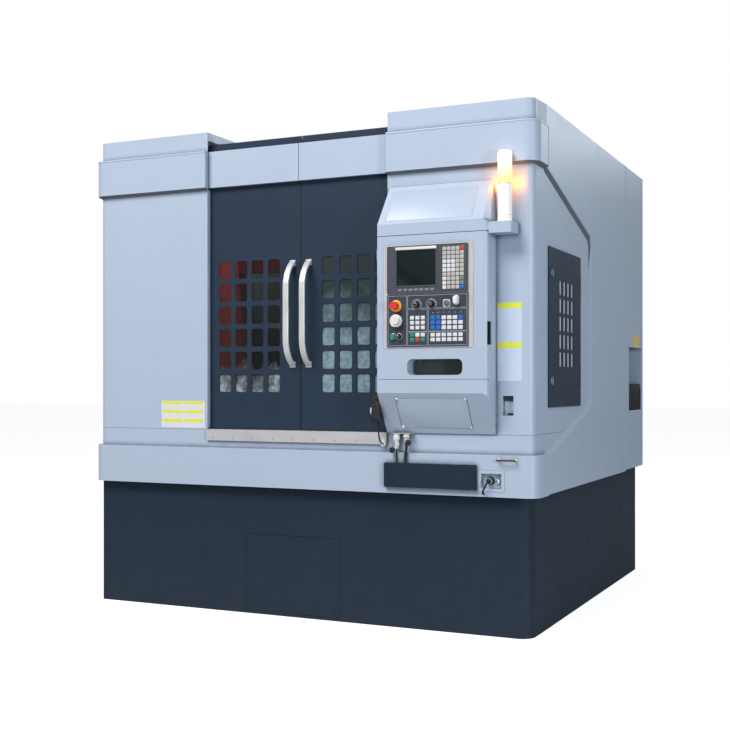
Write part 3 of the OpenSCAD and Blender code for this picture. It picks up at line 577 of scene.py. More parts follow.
def casting(name, colour, worn=(0.55, 0.55, 0.56), roughness=0.55):
    """Painted casting: coarse sand texture under the enamel."""
    made, tree = start_finish(name)
    coat = use(tree, powder_coat, Peel=140.0, Contrast=0.12)
    base = toned(tree, colour, coat["Tone"])
    base = over(tree, base, darker(colour, 0.6), ranged(tree, coat["Rub"], 0.0, 0.6))
    base = over(tree, base, worn, use(tree, edge_wear, Width=0.004, Amount=0.5)["Mask"])
    rough = ranged(tree, coat["Rub"], roughness, roughness + 0.2)
    end_finish(tree, base, rough, coat["Height"], 0.5, 0.0012)
    return made


# panel paint carries painted shade in its joints and inner corners
panel_paint = painted("panel_paint", (0.46, 0.545, 0.68), (0.62, 0.68, 0.78), 0.35, wear=0.5,
                      joint_shade=0.85)
inner_paint = painted("inner_paint", (0.46, 0.545, 0.68), (0.62, 0.68, 0.78), wear=0.5)
# painted shade: dark paint for the sloped returns under the bands
return_shade_paint = painted("return_shade_paint", (0.13, 0.15, 0.18), (0.30, 0.33, 0.38), 0.5, wear=0.4, shine=0.3)
dark_paint = painted("dark_paint", (0.021, 0.038, 0.067), (0.08, 0.11, 0.15), 0.5, contrast=0.08, wear=0.3,
                     peel=600.0, depth=0.3, shine=0.22)
skirt_paint = painted("skirt_paint", (0.015, 0.029, 0.050), (0.07, 0.09, 0.12), 0.55, contrast=0.12,
                      wear=0.35, dust=0.05, peel=500.0, depth=0.35, shine=0.2)
stainless = metal("stainless", (0.72, 0.71, 0.73), 0.40, (2.0, 60.0, 700.0), metallic=0.45)
plate_film = metal("plate_film", (0.66, 0.62, 0.62), 0.45, (40.0, 60.0, 300.0), metallic=0.25)
ground_steel = metal("ground_steel", (0.50, 0.51, 0.53), 0.30, (40.0, 40.0, 500.0))
tool_steel = metal("tool_steel", (0.22, 0.23, 0.25), 0.42, (120.0, 120.0, 300.0))
handle_metal = metal("handle_metal", (0.88, 0.87, 0.85), 0.32, (500.0, 500.0, 8.0), metallic=0.4)
anodised = metal("anodised", (0.70, 0.71, 0.73), 0.40, (300.0, 300.0, 300.0), metallic=0.7)
brass = metal("brass", (0.60, 0.44, 0.20), 0.34, (300.0, 300.0, 300.0))
cast_grey = casting("cast_grey", (0.13, 0.15, 0.17))
frame_red = casting("frame_red", (0.30, 0.020, 0.018), (0.36, 0.12, 0.10))
liner_steel = liner("liner_steel", (0.10, 0.125, 0.110), (0.010, 0.012, 0.012), low=1.42, high=1.62)
panel_dark = plastic("panel_dark", (0.040, 0.050, 0.072), 0.42, 900.0, 0.10)
bezel_dark = plastic("bezel_dark", (0.055, 0.065, 0.085), 0.48, 1200.0, 0.15)
black_plastic = plastic("black_plastic", (0.010, 0.010, 0.012), 0.40)
black_rubber = plastic("black_rubber", (0.012, 0.012, 0.013), 0.62, 2200.0, 0.25)
white_plastic = plastic("white_plastic", (0.80, 0.80, 0.78), 0.35)
key_white = plastic("key_white", (0.74, 0.75, 0.77), 0.38)
key_beige = plastic("key_beige", (0.52, 0.50, 0.45), 0.42)
key_grey = plastic("key_grey", (0.20, 0.23, 0.27), 0.42)
red_plastic = plastic("red_plastic", (0.70, 0.045, 0.035), 0.32)
green_plastic = plastic("green_plastic", (0.010, 0.29, 0.19), 0.32)
blue_plastic = plastic("blue_plastic", (0.010, 0.16, 0.62), 0.34)
yellow_plastic = plastic("yellow_plastic", (0.86, 0.42, 0.02), 0.36)
orange_plastic = plastic("orange_plastic", (0.80, 0.20, 0.03), 0.36)
label_white = plastic("label_white", (0.74, 0.77, 0.80), 0.5, 600.0, 0.05)
label_amber = plastic("label_amber", (0.86, 0.60, 0.07), 0.5, 600.0, 0.05)
label_yellow = plastic("label_yellow", (0.80, 0.82, 0.04), 0.5, 600.0, 0.05)
skin_seam = painted("skin_seam", (0.36, 0.41, 0.48), (0.50, 0.56, 0.64))
line_white = plastic("line_white", (0.50, 0.53, 0.57), 0.5, 600.0, 0.05)
shadow_black = plastic("shadow_black", (0.006, 0.008, 0.011), 0.7)
dark_steel = metal("dark_steel", (0.10, 0.11, 0.13), 0.45, (120.0, 120.0, 300.0))
lamp_white = plastic("lamp_white", (0.86, 0.85, 0.82), 0.4, 400.0, 0.1, glow=0.25)
lamp_amber = lit_lens("lamp_amber", foot=2.19, top=2.31, low_glow=(1.0, 0.56, 0.16),
                      high_glow=(1.0, 0.86, 0.66), strength=1.05)
screen_black = plastic("screen_black", (0.006, 0.012, 0.012), 0.12, 3000.0, 0.01, worn=0.0)
left_pane = pane("left_pane", (0.014, 0.020, 0.020), (0.36, 0.42, 0.48), low=1.17, high=1.33, thick=1.0,
                 blotch=9.0, alpha=0.30)
right_pane = pane("right_pane", (0.034, 0.050, 0.050), (0.24, 0.36, 0.43), low=1.46, high=1.72, thick=1.05,
                  blotch=6.0, alpha=0.80)

CAD_FINISHES = {
    panel_paint: "lower_cover left_cabinet right_cabinet right_side_panel console_housing console_door "
                 "electrical_cabinet cabinet_door left_door_band right_door_band",
    inner_paint: "socket_plate",
    dark_paint: "left_door right_door vent_door",
    skirt_paint: "base_casing base_access_panel name_plate",
    stainless: "door_sill band_handle",
    liner_steel: "work_area_liner",
    plate_film: "backing_plate",
    ground_steel: "levelling_feet door_rail z_ram x_screw z_screw chuck key_switch upper_latch lower_latch",
    tool_steel: "turret jaw_a jaw_b jaw_c",
    anodised: "console_connectors",
    cast_grey: "machine_bed spindle_housing x_saddle",
    frame_red: "column",
    left_pane: "left_door_glass",
    right_pane: "right_door_glass",
    panel_dark: "operator_panel",
    bezel_dark: "display_unit",
    black_rubber: "signal_cable power_cable plug_cord pendant_cord",
    black_plastic: "mode_selector feed_dial speed_dial pendant",
    white_plastic: "handwheel pendant_dial",
    lamp_white: "lamp_body",
    red_plastic: "estop_button",
    green_plastic: "cycle_button",
    lamp_amber: "lamp_lens",
    handle_metal: "left_handle right_handle",
    key_grey: "side_pocket",
}
CAD_CREASE = 28
for finish, names in CAD_FINISHES.items():
    for node_name in names.split():
        mesh = NODES[node_name].data
        mesh.materials.clear()
        mesh.materials.append(finish)
        mesh.shade_smooth()
        mesh.set_sharp_from_angle(angle=math.radians(CAD_CREASE))


# ---- datum lines from the CAD pieces ----------------------------------------

LEFT_CAB, RIGHT_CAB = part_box("left_cabinet"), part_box("right_cabinet")
SIDE_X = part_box("lower_cover")[1].x - PROUD
DOOR_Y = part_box("right_door")[0].y
DOOR_Z = (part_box("right_door")[0].z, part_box("right_door")[1].z)
CON_WIDE = 0.575
CON_X0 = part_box("socket_plate")[0].x - 0.490
CON_X1 = CON_X0 + CON_WIDE
CON_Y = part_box("backing_plate")[1].y
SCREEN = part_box("display_unit")
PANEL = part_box("operator_panel")
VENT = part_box("vent_door")


def centre_of(node_name):
    """Middle of a CAD piece's box."""
    low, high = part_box(node_name)
    return (low + high) / 2


# ---- leads ------------------------------------------------------------------

def lead(name, route, diameter, replaced):
    """Round lead along its route's points, in place of the CAD lead that it hides."""
    path = smooth_path(route, 4)
    piece = Piece(name, "machine", "black_rubber", black_rubber)
    piece.tube(path, diameter / 2, sides=14, up=(1, 0.2, 0.1))
    made = piece.done(sharp=60)
    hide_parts(replaced)
    return made


SIGNAL_ROUTE = [(62, -32, 906), (62, -32, 898), (62, -32.3, 888), (62.2, -33, 878), (62.6, -34, 868),
                (62.9, -34.7, 858), (63, -35, 849), (63, -35, 835)]
POWER_ROUTE = [(116, -32, 934), (116, -32, 924), (115.7, -32.5, 912), (115, -33.5, 900),
               (113.8, -34.6, 888), (112.4, -35.4, 876), (111.2, -35.9, 864), (110.5, -36, 852),
               (110.5, -36, 835)]
PENDANT_ROUTE = [(-22, -66, 1041), (-22, -66, 1029), (-21.8, -66, 1016), (-21.4, -66, 1003),
                 (-21, -66, 991), (-20.5, -65.5, 979), (-20, -63.5, 966), (-19.4, -58.5, 953),
                 (-18.8, -50, 941.5), (-18.3, -39, 933), (-18, -26, 928), (-18, -17, 927), (-18, -12, 927)]
PLUG_ROUTE = [(548, -31, 0), (548, -35, 0), (547.5, -42, -1.5), (546, -48, -5.5), (543, -52, -11.5),
              (540, -53.5, -19), (535, -53.5, -29), (530, -53.5, -38), (526, -52.5, -46),
              (523, -48.5, -53.5), (521, -42, -58.5), (520, -34, -61), (520, -29, -61.5), (520, -25, -61.5)]
SOCKET_Z = 0.759


def on_machine(route, x, z):
    """Route points given in millimetres from a left edge, the front face and a height."""
    return [(x + p[0] * MM, FACE_Y + p[1] * MM, z + p[2] * MM) for p in route]


for lead_name, route, x, z, diameter, replaced in [
        ("signal_lead", SIGNAL_ROUTE, CON_X0, 0, 0.007, "signal_cable"),
        ("power_lead", POWER_ROUTE, CON_X0, 0, 0.014, "power_cable"),
        ("pendant_lead", PENDANT_ROUTE, CON_X0, 0, 0.008, "pendant_cord"),
        ("plug_lead", PLUG_ROUTE, CON_X0 - MM, SOCKET_Z, 0.009, "plug_cord")]:
    points = on_machine(route, x, z)
    lead(lead_name, points, diameter, replaced)


# ---- small hardware ---------------------------------------------------------

def screw_head(piece, spot, axis, radius=0.004, finish=0, socket=1):
    """Button-head screw with a hexagon socket."""
    piece.turned([(radius, 0), (radius, radius * 0.25), (radius * 0.8, radius * 0.55), (0, radius * 0.7)],
                 spot, axis, finish, steps=16)
    lift = Vector(axis).normalized() * radius * 0.66
    piece.disc(radius * 0.36, radius * 0.08, Vector(spot) + lift, axis, socket, 6)


def screw_row(name, body, slot, spots, axis, radius=0.004):
    """Piece of several equal dark screws."""
    piece = Piece(name, body, slot, dark_steel, shadow_black)
    for spot in spots:
        screw_head(piece, spot, axis, radius)
    return piece.done()


# ---- upper and lower bands --------------------------------------------------

def corner_path(inner_x, outer_x, y, radius, back, steps=8):
    """Plan points from an inner end along the front, round the corner and back along the side."""
    points = [(inner_x, y)]
    for k in range(steps + 1):
        angle = math.radians(-90 + 90 * k / steps)
        points.append((outer_x - radius + radius * math.cos(angle), y + radius + radius * math.sin(angle)))
    points.append((outer_x, back))
    return points


def band_chamfer(name, inner_x, top, drop, proud, mirror):
    """Sloped return under a proud band, from its lip back to the cabinet, coloured dark as painted shade.
    """
    piece = Piece(name, "machine", "panel_paint", return_shade_paint)
    part = bmesh.new()
    lip = corner_path(inner_x, SIDE_X + proud, FACE_Y - proud, 0.040 + proud, BAND_BACK)
    root = corner_path(inner_x, SIDE_X, FACE_Y, 0.040, BAND_BACK)
    rows = [[part.verts.new((x, y, top)) for x, y in lip],
            [part.verts.new((x, y, top - drop)) for x, y in root],
            [part.verts.new((x, y, top)) for x, y in root]]
    for a, b in ((0, 1), (1, 2), (2, 0)):
        for k in range(len(lip) - 1):
            part.faces.new((rows[a][k], rows[a][k + 1], rows[b][k + 1], rows[b][k]))
    part.faces.new([row[0] for row in rows])
    part.faces.new([row[-1] for row in rows][::-1])
    piece.add(part, 0)
    return piece.done(mirror=mirror, sharp=40)


def rolled(half_wide, proud, sunk=0.0002):
    """Section of a rolled hem, half round on a flat back."""
    angles = [math.radians(a) for a in range(0, 181, 30)]
    section = [(half_wide * math.cos(angle), proud * math.sin(angle)) for angle in angles]
    return section + [(-half_wide, -sunk), (half_wide, -sunk)]


def band_hem(name, inner_x, z, mirror):
    """Rolled hems of a proud band, and the shoulder that leads the corner into the side panel."""
    piece = Piece(name, "machine", "panel_paint", panel_paint)
    path = [(x, y, z) for x, y in corner_path(inner_x, SIDE_X + PROUD, FACE_Y - PROUD, 0.065, BAND_BACK)]
    roll = rolled(0.0045, 0.0016)
    piece.swept(path, [(b, a) for a, b in roll], 0)
    end = (SIDE_X + PROUD, BAND_BACK - 0.006)
    upright = [(*end, UPPER_LIP + 0.003), (*end, (UPPER_LIP + z) / 2), (*end, z)]
    piece.swept(upright, roll, 0, RIGHT)
    shoulder = [(SIDE_X, FACE_Y + 0.055), (SIDE_X + 0.0118, BAND_BACK), (SIDE_X, BAND_BACK)]
    piece.sheet(shoulder, 0.1045, 0, 0, Matrix.Translation((0, 0, UPPER_RIM + 0.0003)))
    return piece.done(mirror=mirror, sharp=50)


def slope_shade_strip():
    """Dark strip of painted shade on the sloped return that leads from the upper band down the side panel.
    """
    piece = Piece("return_shade_strip", "machine", "black_rubber", return_shade_paint)
    start, end = BAND_BACK + 0.001, FACE_Y + 1.075
    inner = [(start, 2.2665), (end - 0.060, 2.025), (end - 0.036, 1.990), (end - 0.036, 1.880)]
    outer = [(start, 2.3035), (end - 0.036, 2.062), (end, 2.010), (end, 1.880)]
    part = bmesh.new()
    rings = []
    for (y0, z0), (y1, z1), far in zip(inner, outer, (0.80, 0.80, 0.62, 0.16)):
        corners = []
        for share, lift in ((0.10, -0.0004), (far, -0.0004), (far, 0.0006), (0.10, 0.0006)):
            corners.append(part.verts.new((SIDE_X - 0.001 + 0.013 * share + lift, y0 + (y1 - y0) * share,
                                           z0 + (z1 - z0) * share)))
        rings.append(corners)
    piece.join_loops(part, rings)
    part.faces.new(rings[0][::-1])
    part.faces.new(rings[-1])
    piece.add(part, 0)
    return piece.done(sharp=50)


BAND_BACK = FACE_Y + 0.171
UPPER_LIP = 2.296
UPPER_RIM = 2.495
for side_name, inner_x, mirror in (("right", RIGHT_CAB[0].x, False), ("left", -LEFT_CAB[1].x, True)):
    band_hem(side_name + "_band_hem", inner_x, UPPER_RIM - 0.006, mirror)
slope_shade_strip()
band_chamfer("right_band_return", RIGHT_CAB[0].x, UPPER_LIP, 0.013, PROUD, False)
band_chamfer("left_band_return", -LEFT_CAB[1].x, UPPER_LIP, 0.013, PROUD, True)


def rear_joint():
    """Rolled hem on the upright joint between the side panel and the rear cabinet."""
    piece = Piece("rear_joint", "machine", "panel_paint", inner_paint)
    low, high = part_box("electrical_cabinet")
    spot = (high.x, low.y + 0.0075)
    path = [(*spot, low.z + 0.002), (*spot, (low.z + high.z) / 2), (*spot, high.z - 0.002)]
    piece.swept(path, rolled(0.0070, 0.0020), 0, RIGHT)
    return piece.done(sharp=50)


rear_joint()


# ---- skirt screws -----------------------------------------------------------

SKIRT_Y, SKIRT_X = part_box("base_casing")[0].y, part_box("base_casing")[1].x
SKIRT_SCREW_Z = 0.667
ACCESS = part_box("base_access_panel")
screw_row("skirt_screws", "machine", "ground_steel",
          [(x, SKIRT_Y, SKIRT_SCREW_Z) for x in (-1.091, -0.569, -0.046, 0.477, 1.0)], FRONT, 0.006)
screw_row("skirt_side_screws", "machine", "ground_steel",
          [(SKIRT_X, SKIRT_Y + d, SKIRT_SCREW_Z) for d in (0.30, 0.82, 1.34, 1.86)], RIGHT, 0.006)
ACCESS_X = (ACCESS[0].x + 0.045, ACCESS[1].x - 0.045)
screw_row("access_screws", "machine", "ground_steel",
          [(x, SKIRT_Y, z) for x in ACCESS_X for z in (0.045, 0.215, 0.395)], FRONT, 0.005)


# ---- sliding doors ----------------------------------------------------------

def door_grip(name, body, replaced, mirror):
    """Bow handle: a flat extruded bar with grooves along it, curving out from the door."""
    piece = Piece(name, body, "handle_metal", handle_metal)
    low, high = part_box("right_handle")
    x = (low.x + high.x) / 2
    z0, z1 = low.z + 0.013, high.z - 0.013
    reach = low.y + 0.0072
    bend = [(0.0, DOOR_Y - 0.003), (0.012, DOOR_Y - 0.018), (0.034, DOOR_Y - 0.039),
            (0.064, DOOR_Y - 0.059), (0.098, DOOR_Y - 0.071), (0.132, reach)]
    path = [(x, y, z0 + rise) for rise, y in bend] + [(x, reach, (z0 + z1) / 2)]
    path += [(x, y, z1 - rise) for rise, y in reversed(bend)]
    half_w, half_t = 0.0164, 0.0068
    section = rounded(-half_w, -half_t, half_w, half_t, 0.0045, 4)
    crest = []
    for middle, sink in ((0.0072, 0.0013), (0.0, 0.0013), (-0.0072, 0.0013)):
        crest += [(middle + 0.0012, half_t), (middle + 0.0007, half_t - sink),
                  (middle - 0.0007, half_t - sink), (middle - 0.0012, half_t)]
    section = section[:5] + crest + section[5:]
    piece.swept(smooth_path(path, 6), section, 0, up=(0, -1, 0.001))
    for z in (z0 + 0.004, z1 - 0.004):
        piece.block((x - half_w, DOOR_Y - 0.004, z - 0.016), (x + half_w, DOOR_Y, z + 0.016), 0.0012, 0)
    made = piece.done(mirror=mirror, sharp=50)
    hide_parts(replaced)
    return made


door_grip("right_grip", "right_door", "right_handle", False)
door_grip("left_grip", "left_door", "left_handle", True)


WINDOW_X, WINDOW_Z = 0.125, 1.184
WINDOW_WIDE, WINDOW_TALL = 0.075, 0.098
WINDOW_STEP_X, WINDOW_STEP_Z = 0.101, 0.1225
GASKET = 0.0022


def door_trim(name, body, mirror):
    """Rubber gasket in every window, and dark strips of painted shade in and along the meeting gap of one
    door.
    """
    piece = Piece(name, body, "black_rubber", black_rubber, shadow_black)
    for column in range(4):
        for row in range(6):
            x0, z0 = WINDOW_X + WINDOW_STEP_X * column, WINDOW_Z + WINDOW_STEP_Z * row
            x1, z1 = x0 + WINDOW_WIDE, z0 + WINDOW_TALL
            inner = rounded(x0 + GASKET, z0 + GASKET, x1 - GASKET, z1 - GASKET, 0.013)
            piece.plate(x0, z0, x1, z1, 0.015, 5, GASKET, 0, 0, DOOR_Y + 0.0035, inner)
    # dark strips of painted shade in the meeting gap
    piece.block((0.0004, DOOR_Y + 0.004, DOOR_Z[0] + 0.01), (0.0015, DOOR_Y + 0.026, 2.49), 0, 1)
    piece.block((0.0005, DOOR_Y - 0.0006, DOOR_Z[0] + 0.006), (0.0042, DOOR_Y + 0.0040, 2.2975), 0.0003, 1)
    return piece.done(mirror=mirror)


door_trim("right_door_seals", "right_door", False)
door_trim("left_door_seals", "left_door", True)


# ---- console: screen and keys -----------------------------------------------

def circle(spot, radius):
    """Round outline about a spot on an upright face."""
    return rounded(spot.x - radius, spot.z - radius, spot.x + radius, spot.z + radius, radius - 0.0001, 8)


def key(piece, x0, z0, x1, z1, y, rise, finish, radius=0.0022):
    """Domed key cap with round corners standing on a panel."""
    piece.plate(x0, z0, x1, z1, radius, 3, rise, min(0.0012, rise * 0.6), finish, y)


def key_grid(piece, x0, z0, x1, z1, columns, rows, y, finish_at, rise=0.0022, share=0.80):
    """Grid of keys in a field; finish_at gives the finish by column and row from the top."""
    step_x = (x1 - x0) / columns
    step_z = (z1 - z0) / rows
    for i in range(columns):
        for j in range(rows):
            cx = x0 + step_x * (i + 0.5)
            cz = z1 - step_z * (j + 0.5)
            hx, hz = step_x * share / 2, step_z * share / 2
            key(piece, cx - hx, cz - hz, cx + hx, cz + hz, y, rise, finish_at(i, j))


def build_screen():
    """Screen glass with its pale frame and soft keys."""
    piece = Piece("screen", "console_door", "panel_dark", screen_black, label_white, key_grey, bezel_dark)
    y = SCREEN[0].y
    x0, z0 = SCREEN[0].x + 0.052, SCREEN[0].z + 0.038
    x1, z1 = x0 + 0.204, z0 + 0.172
    piece.plate(x0, z0, x1, z1, 0.003, 3, 0.0015, 0.0005, 0, y + 0.0048)
    piece.plate(x0 - 0.007, z0 - 0.007, x1 + 0.007, z1 + 0.007, 0.004, 3, 0.0016, 0.0008, 3, y,
                rounded(x0, z0, x1, z1, 0.002, 3))
    piece.plate(x0 - 0.007, z1 + 0.004, x1 + 0.005, z1 + 0.017, 0.002, 3, 0.0010, 0.0003, 1, y - 0.0012)
    for k in range(7):
        left = x0 + 0.006 + 0.0283 * k
        key(piece, left, z0 - 0.026, left + 0.021, z0 - 0.015, y, 0.0012, 2)
    return piece.done()


def build_keyboard():
    """Data keyboard beside the screen: pale key blocks, a red key and blue ones."""
    piece = Piece("keyboard", "console_door", "white_plastic", key_beige, key_white, red_plastic,
                  blue_plastic, key_grey, bezel_dark)
    y = SCREEN[0].y
    x0, z0 = SCREEN[0].x + 0.291, SCREEN[0].z + 0.014
    x1, z1 = x0 + 0.112, z0 + 0.206
    piece.plate(x0 - 0.004, z0 - 0.004, x1 + 0.004, z1 + 0.004, 0.003, 3, 0.0009, 0.0003, 5, y)

    def block_finish(i, j):
        """One red, one blue and two grey keys, and white fields among beige keys."""
        own = {(4, 0): 2, (4, 9): 3, (4, 7): 4, (4, 8): 4}
        pale = (3 <= j <= 5 and i < 3) or (j > 6 and i == 0)
        return own.get((i, j), 1 if pale else 0)

    key_grid(piece, x0, z0, x1, z1, 5, 10, y - 0.0009, block_finish, 0.0016, 0.84)
    return piece.done()


def build_panel_keys():
    """Machine panel: four key fields, their outlines and the indicator lights."""
    piece = Piece("panel_keys", "console_door", "white_plastic", key_white, blue_plastic, green_plastic,
                  red_plastic, line_white, shadow_black)
    y = PANEL[0].y
    x, z = PANEL[0].x, PANEL[0].z

    def white(i, j):
        """Every key white."""
        return 0

    def cycle_finish(i, j):
        """Three green keys, a red one and two white ones."""
        return [[2, 2], [0, 3], [0, 2]][i][j]

    def mode_finish(i, j):
        """Two blue columns and a blue key at the top right, the rest white."""
        return 1 if i < 2 or (i, j) == (5, 0) else 0

    key_grid(piece, x + 0.120, z + 0.081, x + 0.205, z + 0.153, 3, 3, y, white, share=0.74)
    key_grid(piece, x + 0.120, z + 0.022, x + 0.205, z + 0.070, 3, 2, y, cycle_finish, share=0.76)
    key_grid(piece, x + 0.228, z + 0.079, x + 0.400, z + 0.151, 6, 3, y, mode_finish, share=0.78)
    key_grid(piece, x + 0.228, z + 0.022, x + 0.400, z + 0.068, 6, 2, y, white, share=0.78)
    fields = [(0.006, 0.006, 0.106, 0.250), (0.110, 0.186, 0.419, 0.250), (0.110, 0.074, 0.214, 0.182),
              (0.110, 0.006, 0.214, 0.072), (0.219, 0.074, 0.419, 0.182), (0.219, 0.006, 0.419, 0.072)]
    for a, b, c, d in fields:
        piece.plate(x + a, z + b, x + c, z + d, 0.003, 3, 0.0004, 0, 4, y,
                    rounded(x + a + 0.0014, z + b + 0.0014, x + c - 0.0014, z + d - 0.0014, 0.002, 3))
    # small lamps over the keys
    mode_lamp = [(0.0022, 0), (0.0022, 0.0006), (0, 0.0012)]
    for k in range(6):
        piece.turned(mode_lamp, (x + 0.242 + 0.0287 * k, y, z + 0.164), FRONT, 4, steps=12)
    side_lamp = [(0.0030, 0), (0.0030, 0.0006), (0, 0.0014)]
    for k in range(4):
        piece.turned(side_lamp, (x + 0.404, y, z + 0.196 + 0.014 * k), FRONT, 5, steps=12)
    return piece.done()


def dial_scale(piece, spot, finish, inner=0.0190, outer=0.0275, start=-135, stop=135, marks=15):
    """Ring of raised scale marks round a rotary switch."""
    for k in range(marks):
        angle = math.radians(90 - (start + (stop - start) * k / (marks - 1)))
        direction = Vector((math.cos(angle), 0, math.sin(angle)))
        middle = Vector(spot) + direction * (inner + outer) / 2
        turn = Matrix.Translation(middle) @ Matrix.Rotation(math.pi / 2 - angle, 4, "Y")
        half = (outer - inner) / 2
        piece.block((-0.0011, -0.0005, -half), (0.0011, 0.0, half), 0, finish, place=turn)


def build_panel_marks():
    """Scale marks of the dials, collars under the switches and the white pilot lamp."""
    piece = Piece("dial_marks", "console_door", "white_plastic", key_white, yellow_plastic, white_plastic,
                  anodised)
    y = PANEL[0].y
    for name in ("feed_dial", "speed_dial"):
        spot = centre_of(name)
        dial_scale(piece, (spot.x, y, spot.z), 0)
    stop = centre_of("estop_button")
    stop_collar = [(0.0112, 0), (0.030, 0), (0.030, 0.0035), (0.0285, 0.006), (0.021, 0.0085),
                   (0.0112, 0.0085)]
    piece.turned(stop_collar, (stop.x, y, stop.z), FRONT, 1, steps=48)
    for name, inner in (("cycle_button", 0.0132), ("mode_selector", 0.0142)):
        spot = centre_of(name)
        piece.sheet(circle(spot, inner + 0.0030), 0.0030, 0.0010, 3, front(y), circle(spot, inner))
    lock = centre_of("key_switch")
    piece.plate(lock.x - 0.019, lock.z - 0.019, lock.x + 0.019, lock.z + 0.019, 0.006, 4, 0.0012, 0.0006, 3,
                y, rounded(lock.x - 0.0134, lock.z - 0.0134, lock.x + 0.0134, lock.z + 0.0134, 0.0132, 4))
    x, z = PANEL[0].x + 0.3645, PANEL[0].z + 0.221
    piece.plate(x - 0.0155, z - 0.0235, x + 0.0155, z + 0.0235, 0.0150, 6, 0.0040, 0.0012, 3, y)
    piece.plate(x - 0.0130, z - 0.0210, x + 0.0130, z + 0.0210, 0.0125, 6, 0.0190, 0.0060, 2, y - 0.0040)
    return piece.done()


def build_pointers():
    """White pointer lines and bright rims on the rotary switches' knobs."""
    for name, reach in (("feed_dial", 0.0150), ("speed_dial", 0.0108), ("mode_selector", 0.0118)):
        piece = Piece(name + "_pointer", name, "white_plastic", key_white, anodised)
        spot = centre_of(name)
        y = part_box(name)[0].y
        piece.block((spot.x - 0.0012, y - 0.0005, spot.z + 0.0020),
                    (spot.x + 0.0012, y, spot.z + reach * 0.86), 0.0002, 0)
        rim = reach * 0.72
        piece.sheet(circle(spot, rim), 0.0003, 0, 1, front(y), circle(spot, rim - 0.0012))
        piece.done()


build_screen()
build_keyboard()
build_panel_keys()
build_panel_marks()
build_pointers()


# ---- console housing --------------------------------------------------------

def sloped(origin, up, out):
    """Places a plate on a slope: its local Y runs up the slope, its local Z out of it."""
    return placing(origin, RIGHT, Vector(up).normalized(), Vector(out).normalized())


def build_console_covers():
    """Screwed cover on the lower slope and the raised field on the hood."""
    piece = Piece("console_covers", "machine", "panel_paint", panel_paint, handle_metal, shadow_black,
                  skin_seam)
    low_z, high_z = 0.984, 1.184
    run = 0.120
    slope = sloped((0, CON_Y + run, low_z), (0, -run, high_z - low_z), (0, low_z - high_z, -run))
    x0, x1 = CON_X0 + 0.091, CON_X0 + 0.462
    s0, s1 = 0.033, 0.202
    piece.sheet(rounded(x0, s0, x1, s1, 0.002, 2), 0.0008, 0.0003, 0, slope)
    piece.sheet(rounded(x0 - 0.0026, s0 - 0.0009, x1 + 0.0026, s1 + 0.0009, 0.003, 2), 0.0002, 0, 2, slope)
    out = Vector((0, low_z - high_z, -run)).normalized()
    for x in (x0 + 0.006, x1 - 0.006):
        for s in (s0 + 0.004, s1 - 0.004):
            screw_head(piece, slope @ Vector((x, s, 0.0008)), out, 0.0068, 1, 0)
    rise, back = 0.202, 0.124
    hood = sloped((0, CON_Y, 2.016), (0, back, rise), (0, -rise, back))
    piece.sheet(rounded(CON_X0 + 0.040, 0.018, CON_X1 - 0.085, 0.206, 0.006, 3), 0.0012, 0.0008, 0, hood)
    piece.sheet(rounded(CON_X0 + 0.0385, 0.0165, CON_X1 - 0.0835, 0.2075, 0.007, 3), 0.0002, 0, 3, hood)
    for x in (CON_X0 + 0.052, CON_X1 - 0.097):
        screw_head(piece, hood @ Vector((x, 0.030, 0.0012)), (0, -rise, back), 0.0035, 1, 2)
    return piece.done()


def build_tray_lining():
    """Dark ribbed mat on the back wall of the console's tray, with its rivets."""
    piece = Piece("tray_lining", "console_door", "black_rubber", tray_mat, anodised)
    x0, x1 = CON_X0 + 0.162, CON_X0 + 0.445
    back = CON_Y + 0.0838
    piece.plate(x0, 1.274, x1, 1.348, 0.024, 5, 0.001, 0.0003, 0, back)
    for k in range(9):
        z = 1.282 + 0.0070 * k
        piece.block((x0 + 0.012, back - 0.0016, z), (x1 - 0.012, back - 0.001, z + 0.0030), 0.0002, 0)
    for x in (x0 + 0.030, x1 - 0.030):
        piece.turned([(0.0036, 0), (0.0032, 0.0010), (0, 0.0014)], (x, back - 0.0016, 1.340), FRONT, 1, 16)
    return piece.done()


def build_console_seal():
    """Rubber seal round the swinging front."""
    piece = Piece("console_seal", "machine", "black_rubber", black_rubber)
    y = CON_Y + 0.0277
    z0, z1 = 1.254, 1.954
    outer = rounded(CON_X0 + 0.003, z0, CON_X1 - 0.003, z1, 0.004, 2)
    inner = rounded(CON_X0 + 0.0058, z0 + 0.005, CON_X1 - 0.0058, z1 - 0.005, 0.004, 2)
    piece.sheet(outer, 0.0002, 0, 0, front(y + 0.0003), hole=inner)
    return piece.done()


def build_signal_lamp():
    """Joint rings and screws of the signal lamp."""
    piece = Piece("lamp_rings", "machine", "white_plastic", white_plastic, bezel_dark)
    low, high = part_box("lamp_body")
    spot = ((low.x + high.x) / 2, (low.y + high.y) / 2)
    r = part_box("lamp_lens")[1].x - spot[0]
    top_ring = [(r + 0.0012, 0), (r + 0.0018, 0.001), (r + 0.0018, 0.005), (r + 0.0012, 0.006)]
    piece.turned(top_ring, (*spot, high.z - 0.003), UP, 0, 40)
    low_ring = [(r + 0.0008, 0), (r + 0.0012, 0.001), (r + 0.0012, 0.003), (r + 0.0008, 0.004)]
    piece.turned(low_ring, (*spot, low.z + 0.030), UP, 0, 40)
    for k in range(3):
        angle = math.radians(200 + 120 * k)
        screw_head(piece, (spot[0] + (r + 0.001) * math.cos(angle), spot[1] + (r + 0.001) * math.sin(angle),
                           low.z + 0.018), (math.cos(angle), math.sin(angle), 0), 0.003, 0, 1)
    return piece.done()


tray_mat = plastic("tray_mat", (0.075, 0.088, 0.074), 0.7, 900.0, 0.3)
build_console_covers()
build_tray_lining()
build_console_seal()
build_signal_lamp()


# ---- pendant, connectors and socket -----------------------------------------

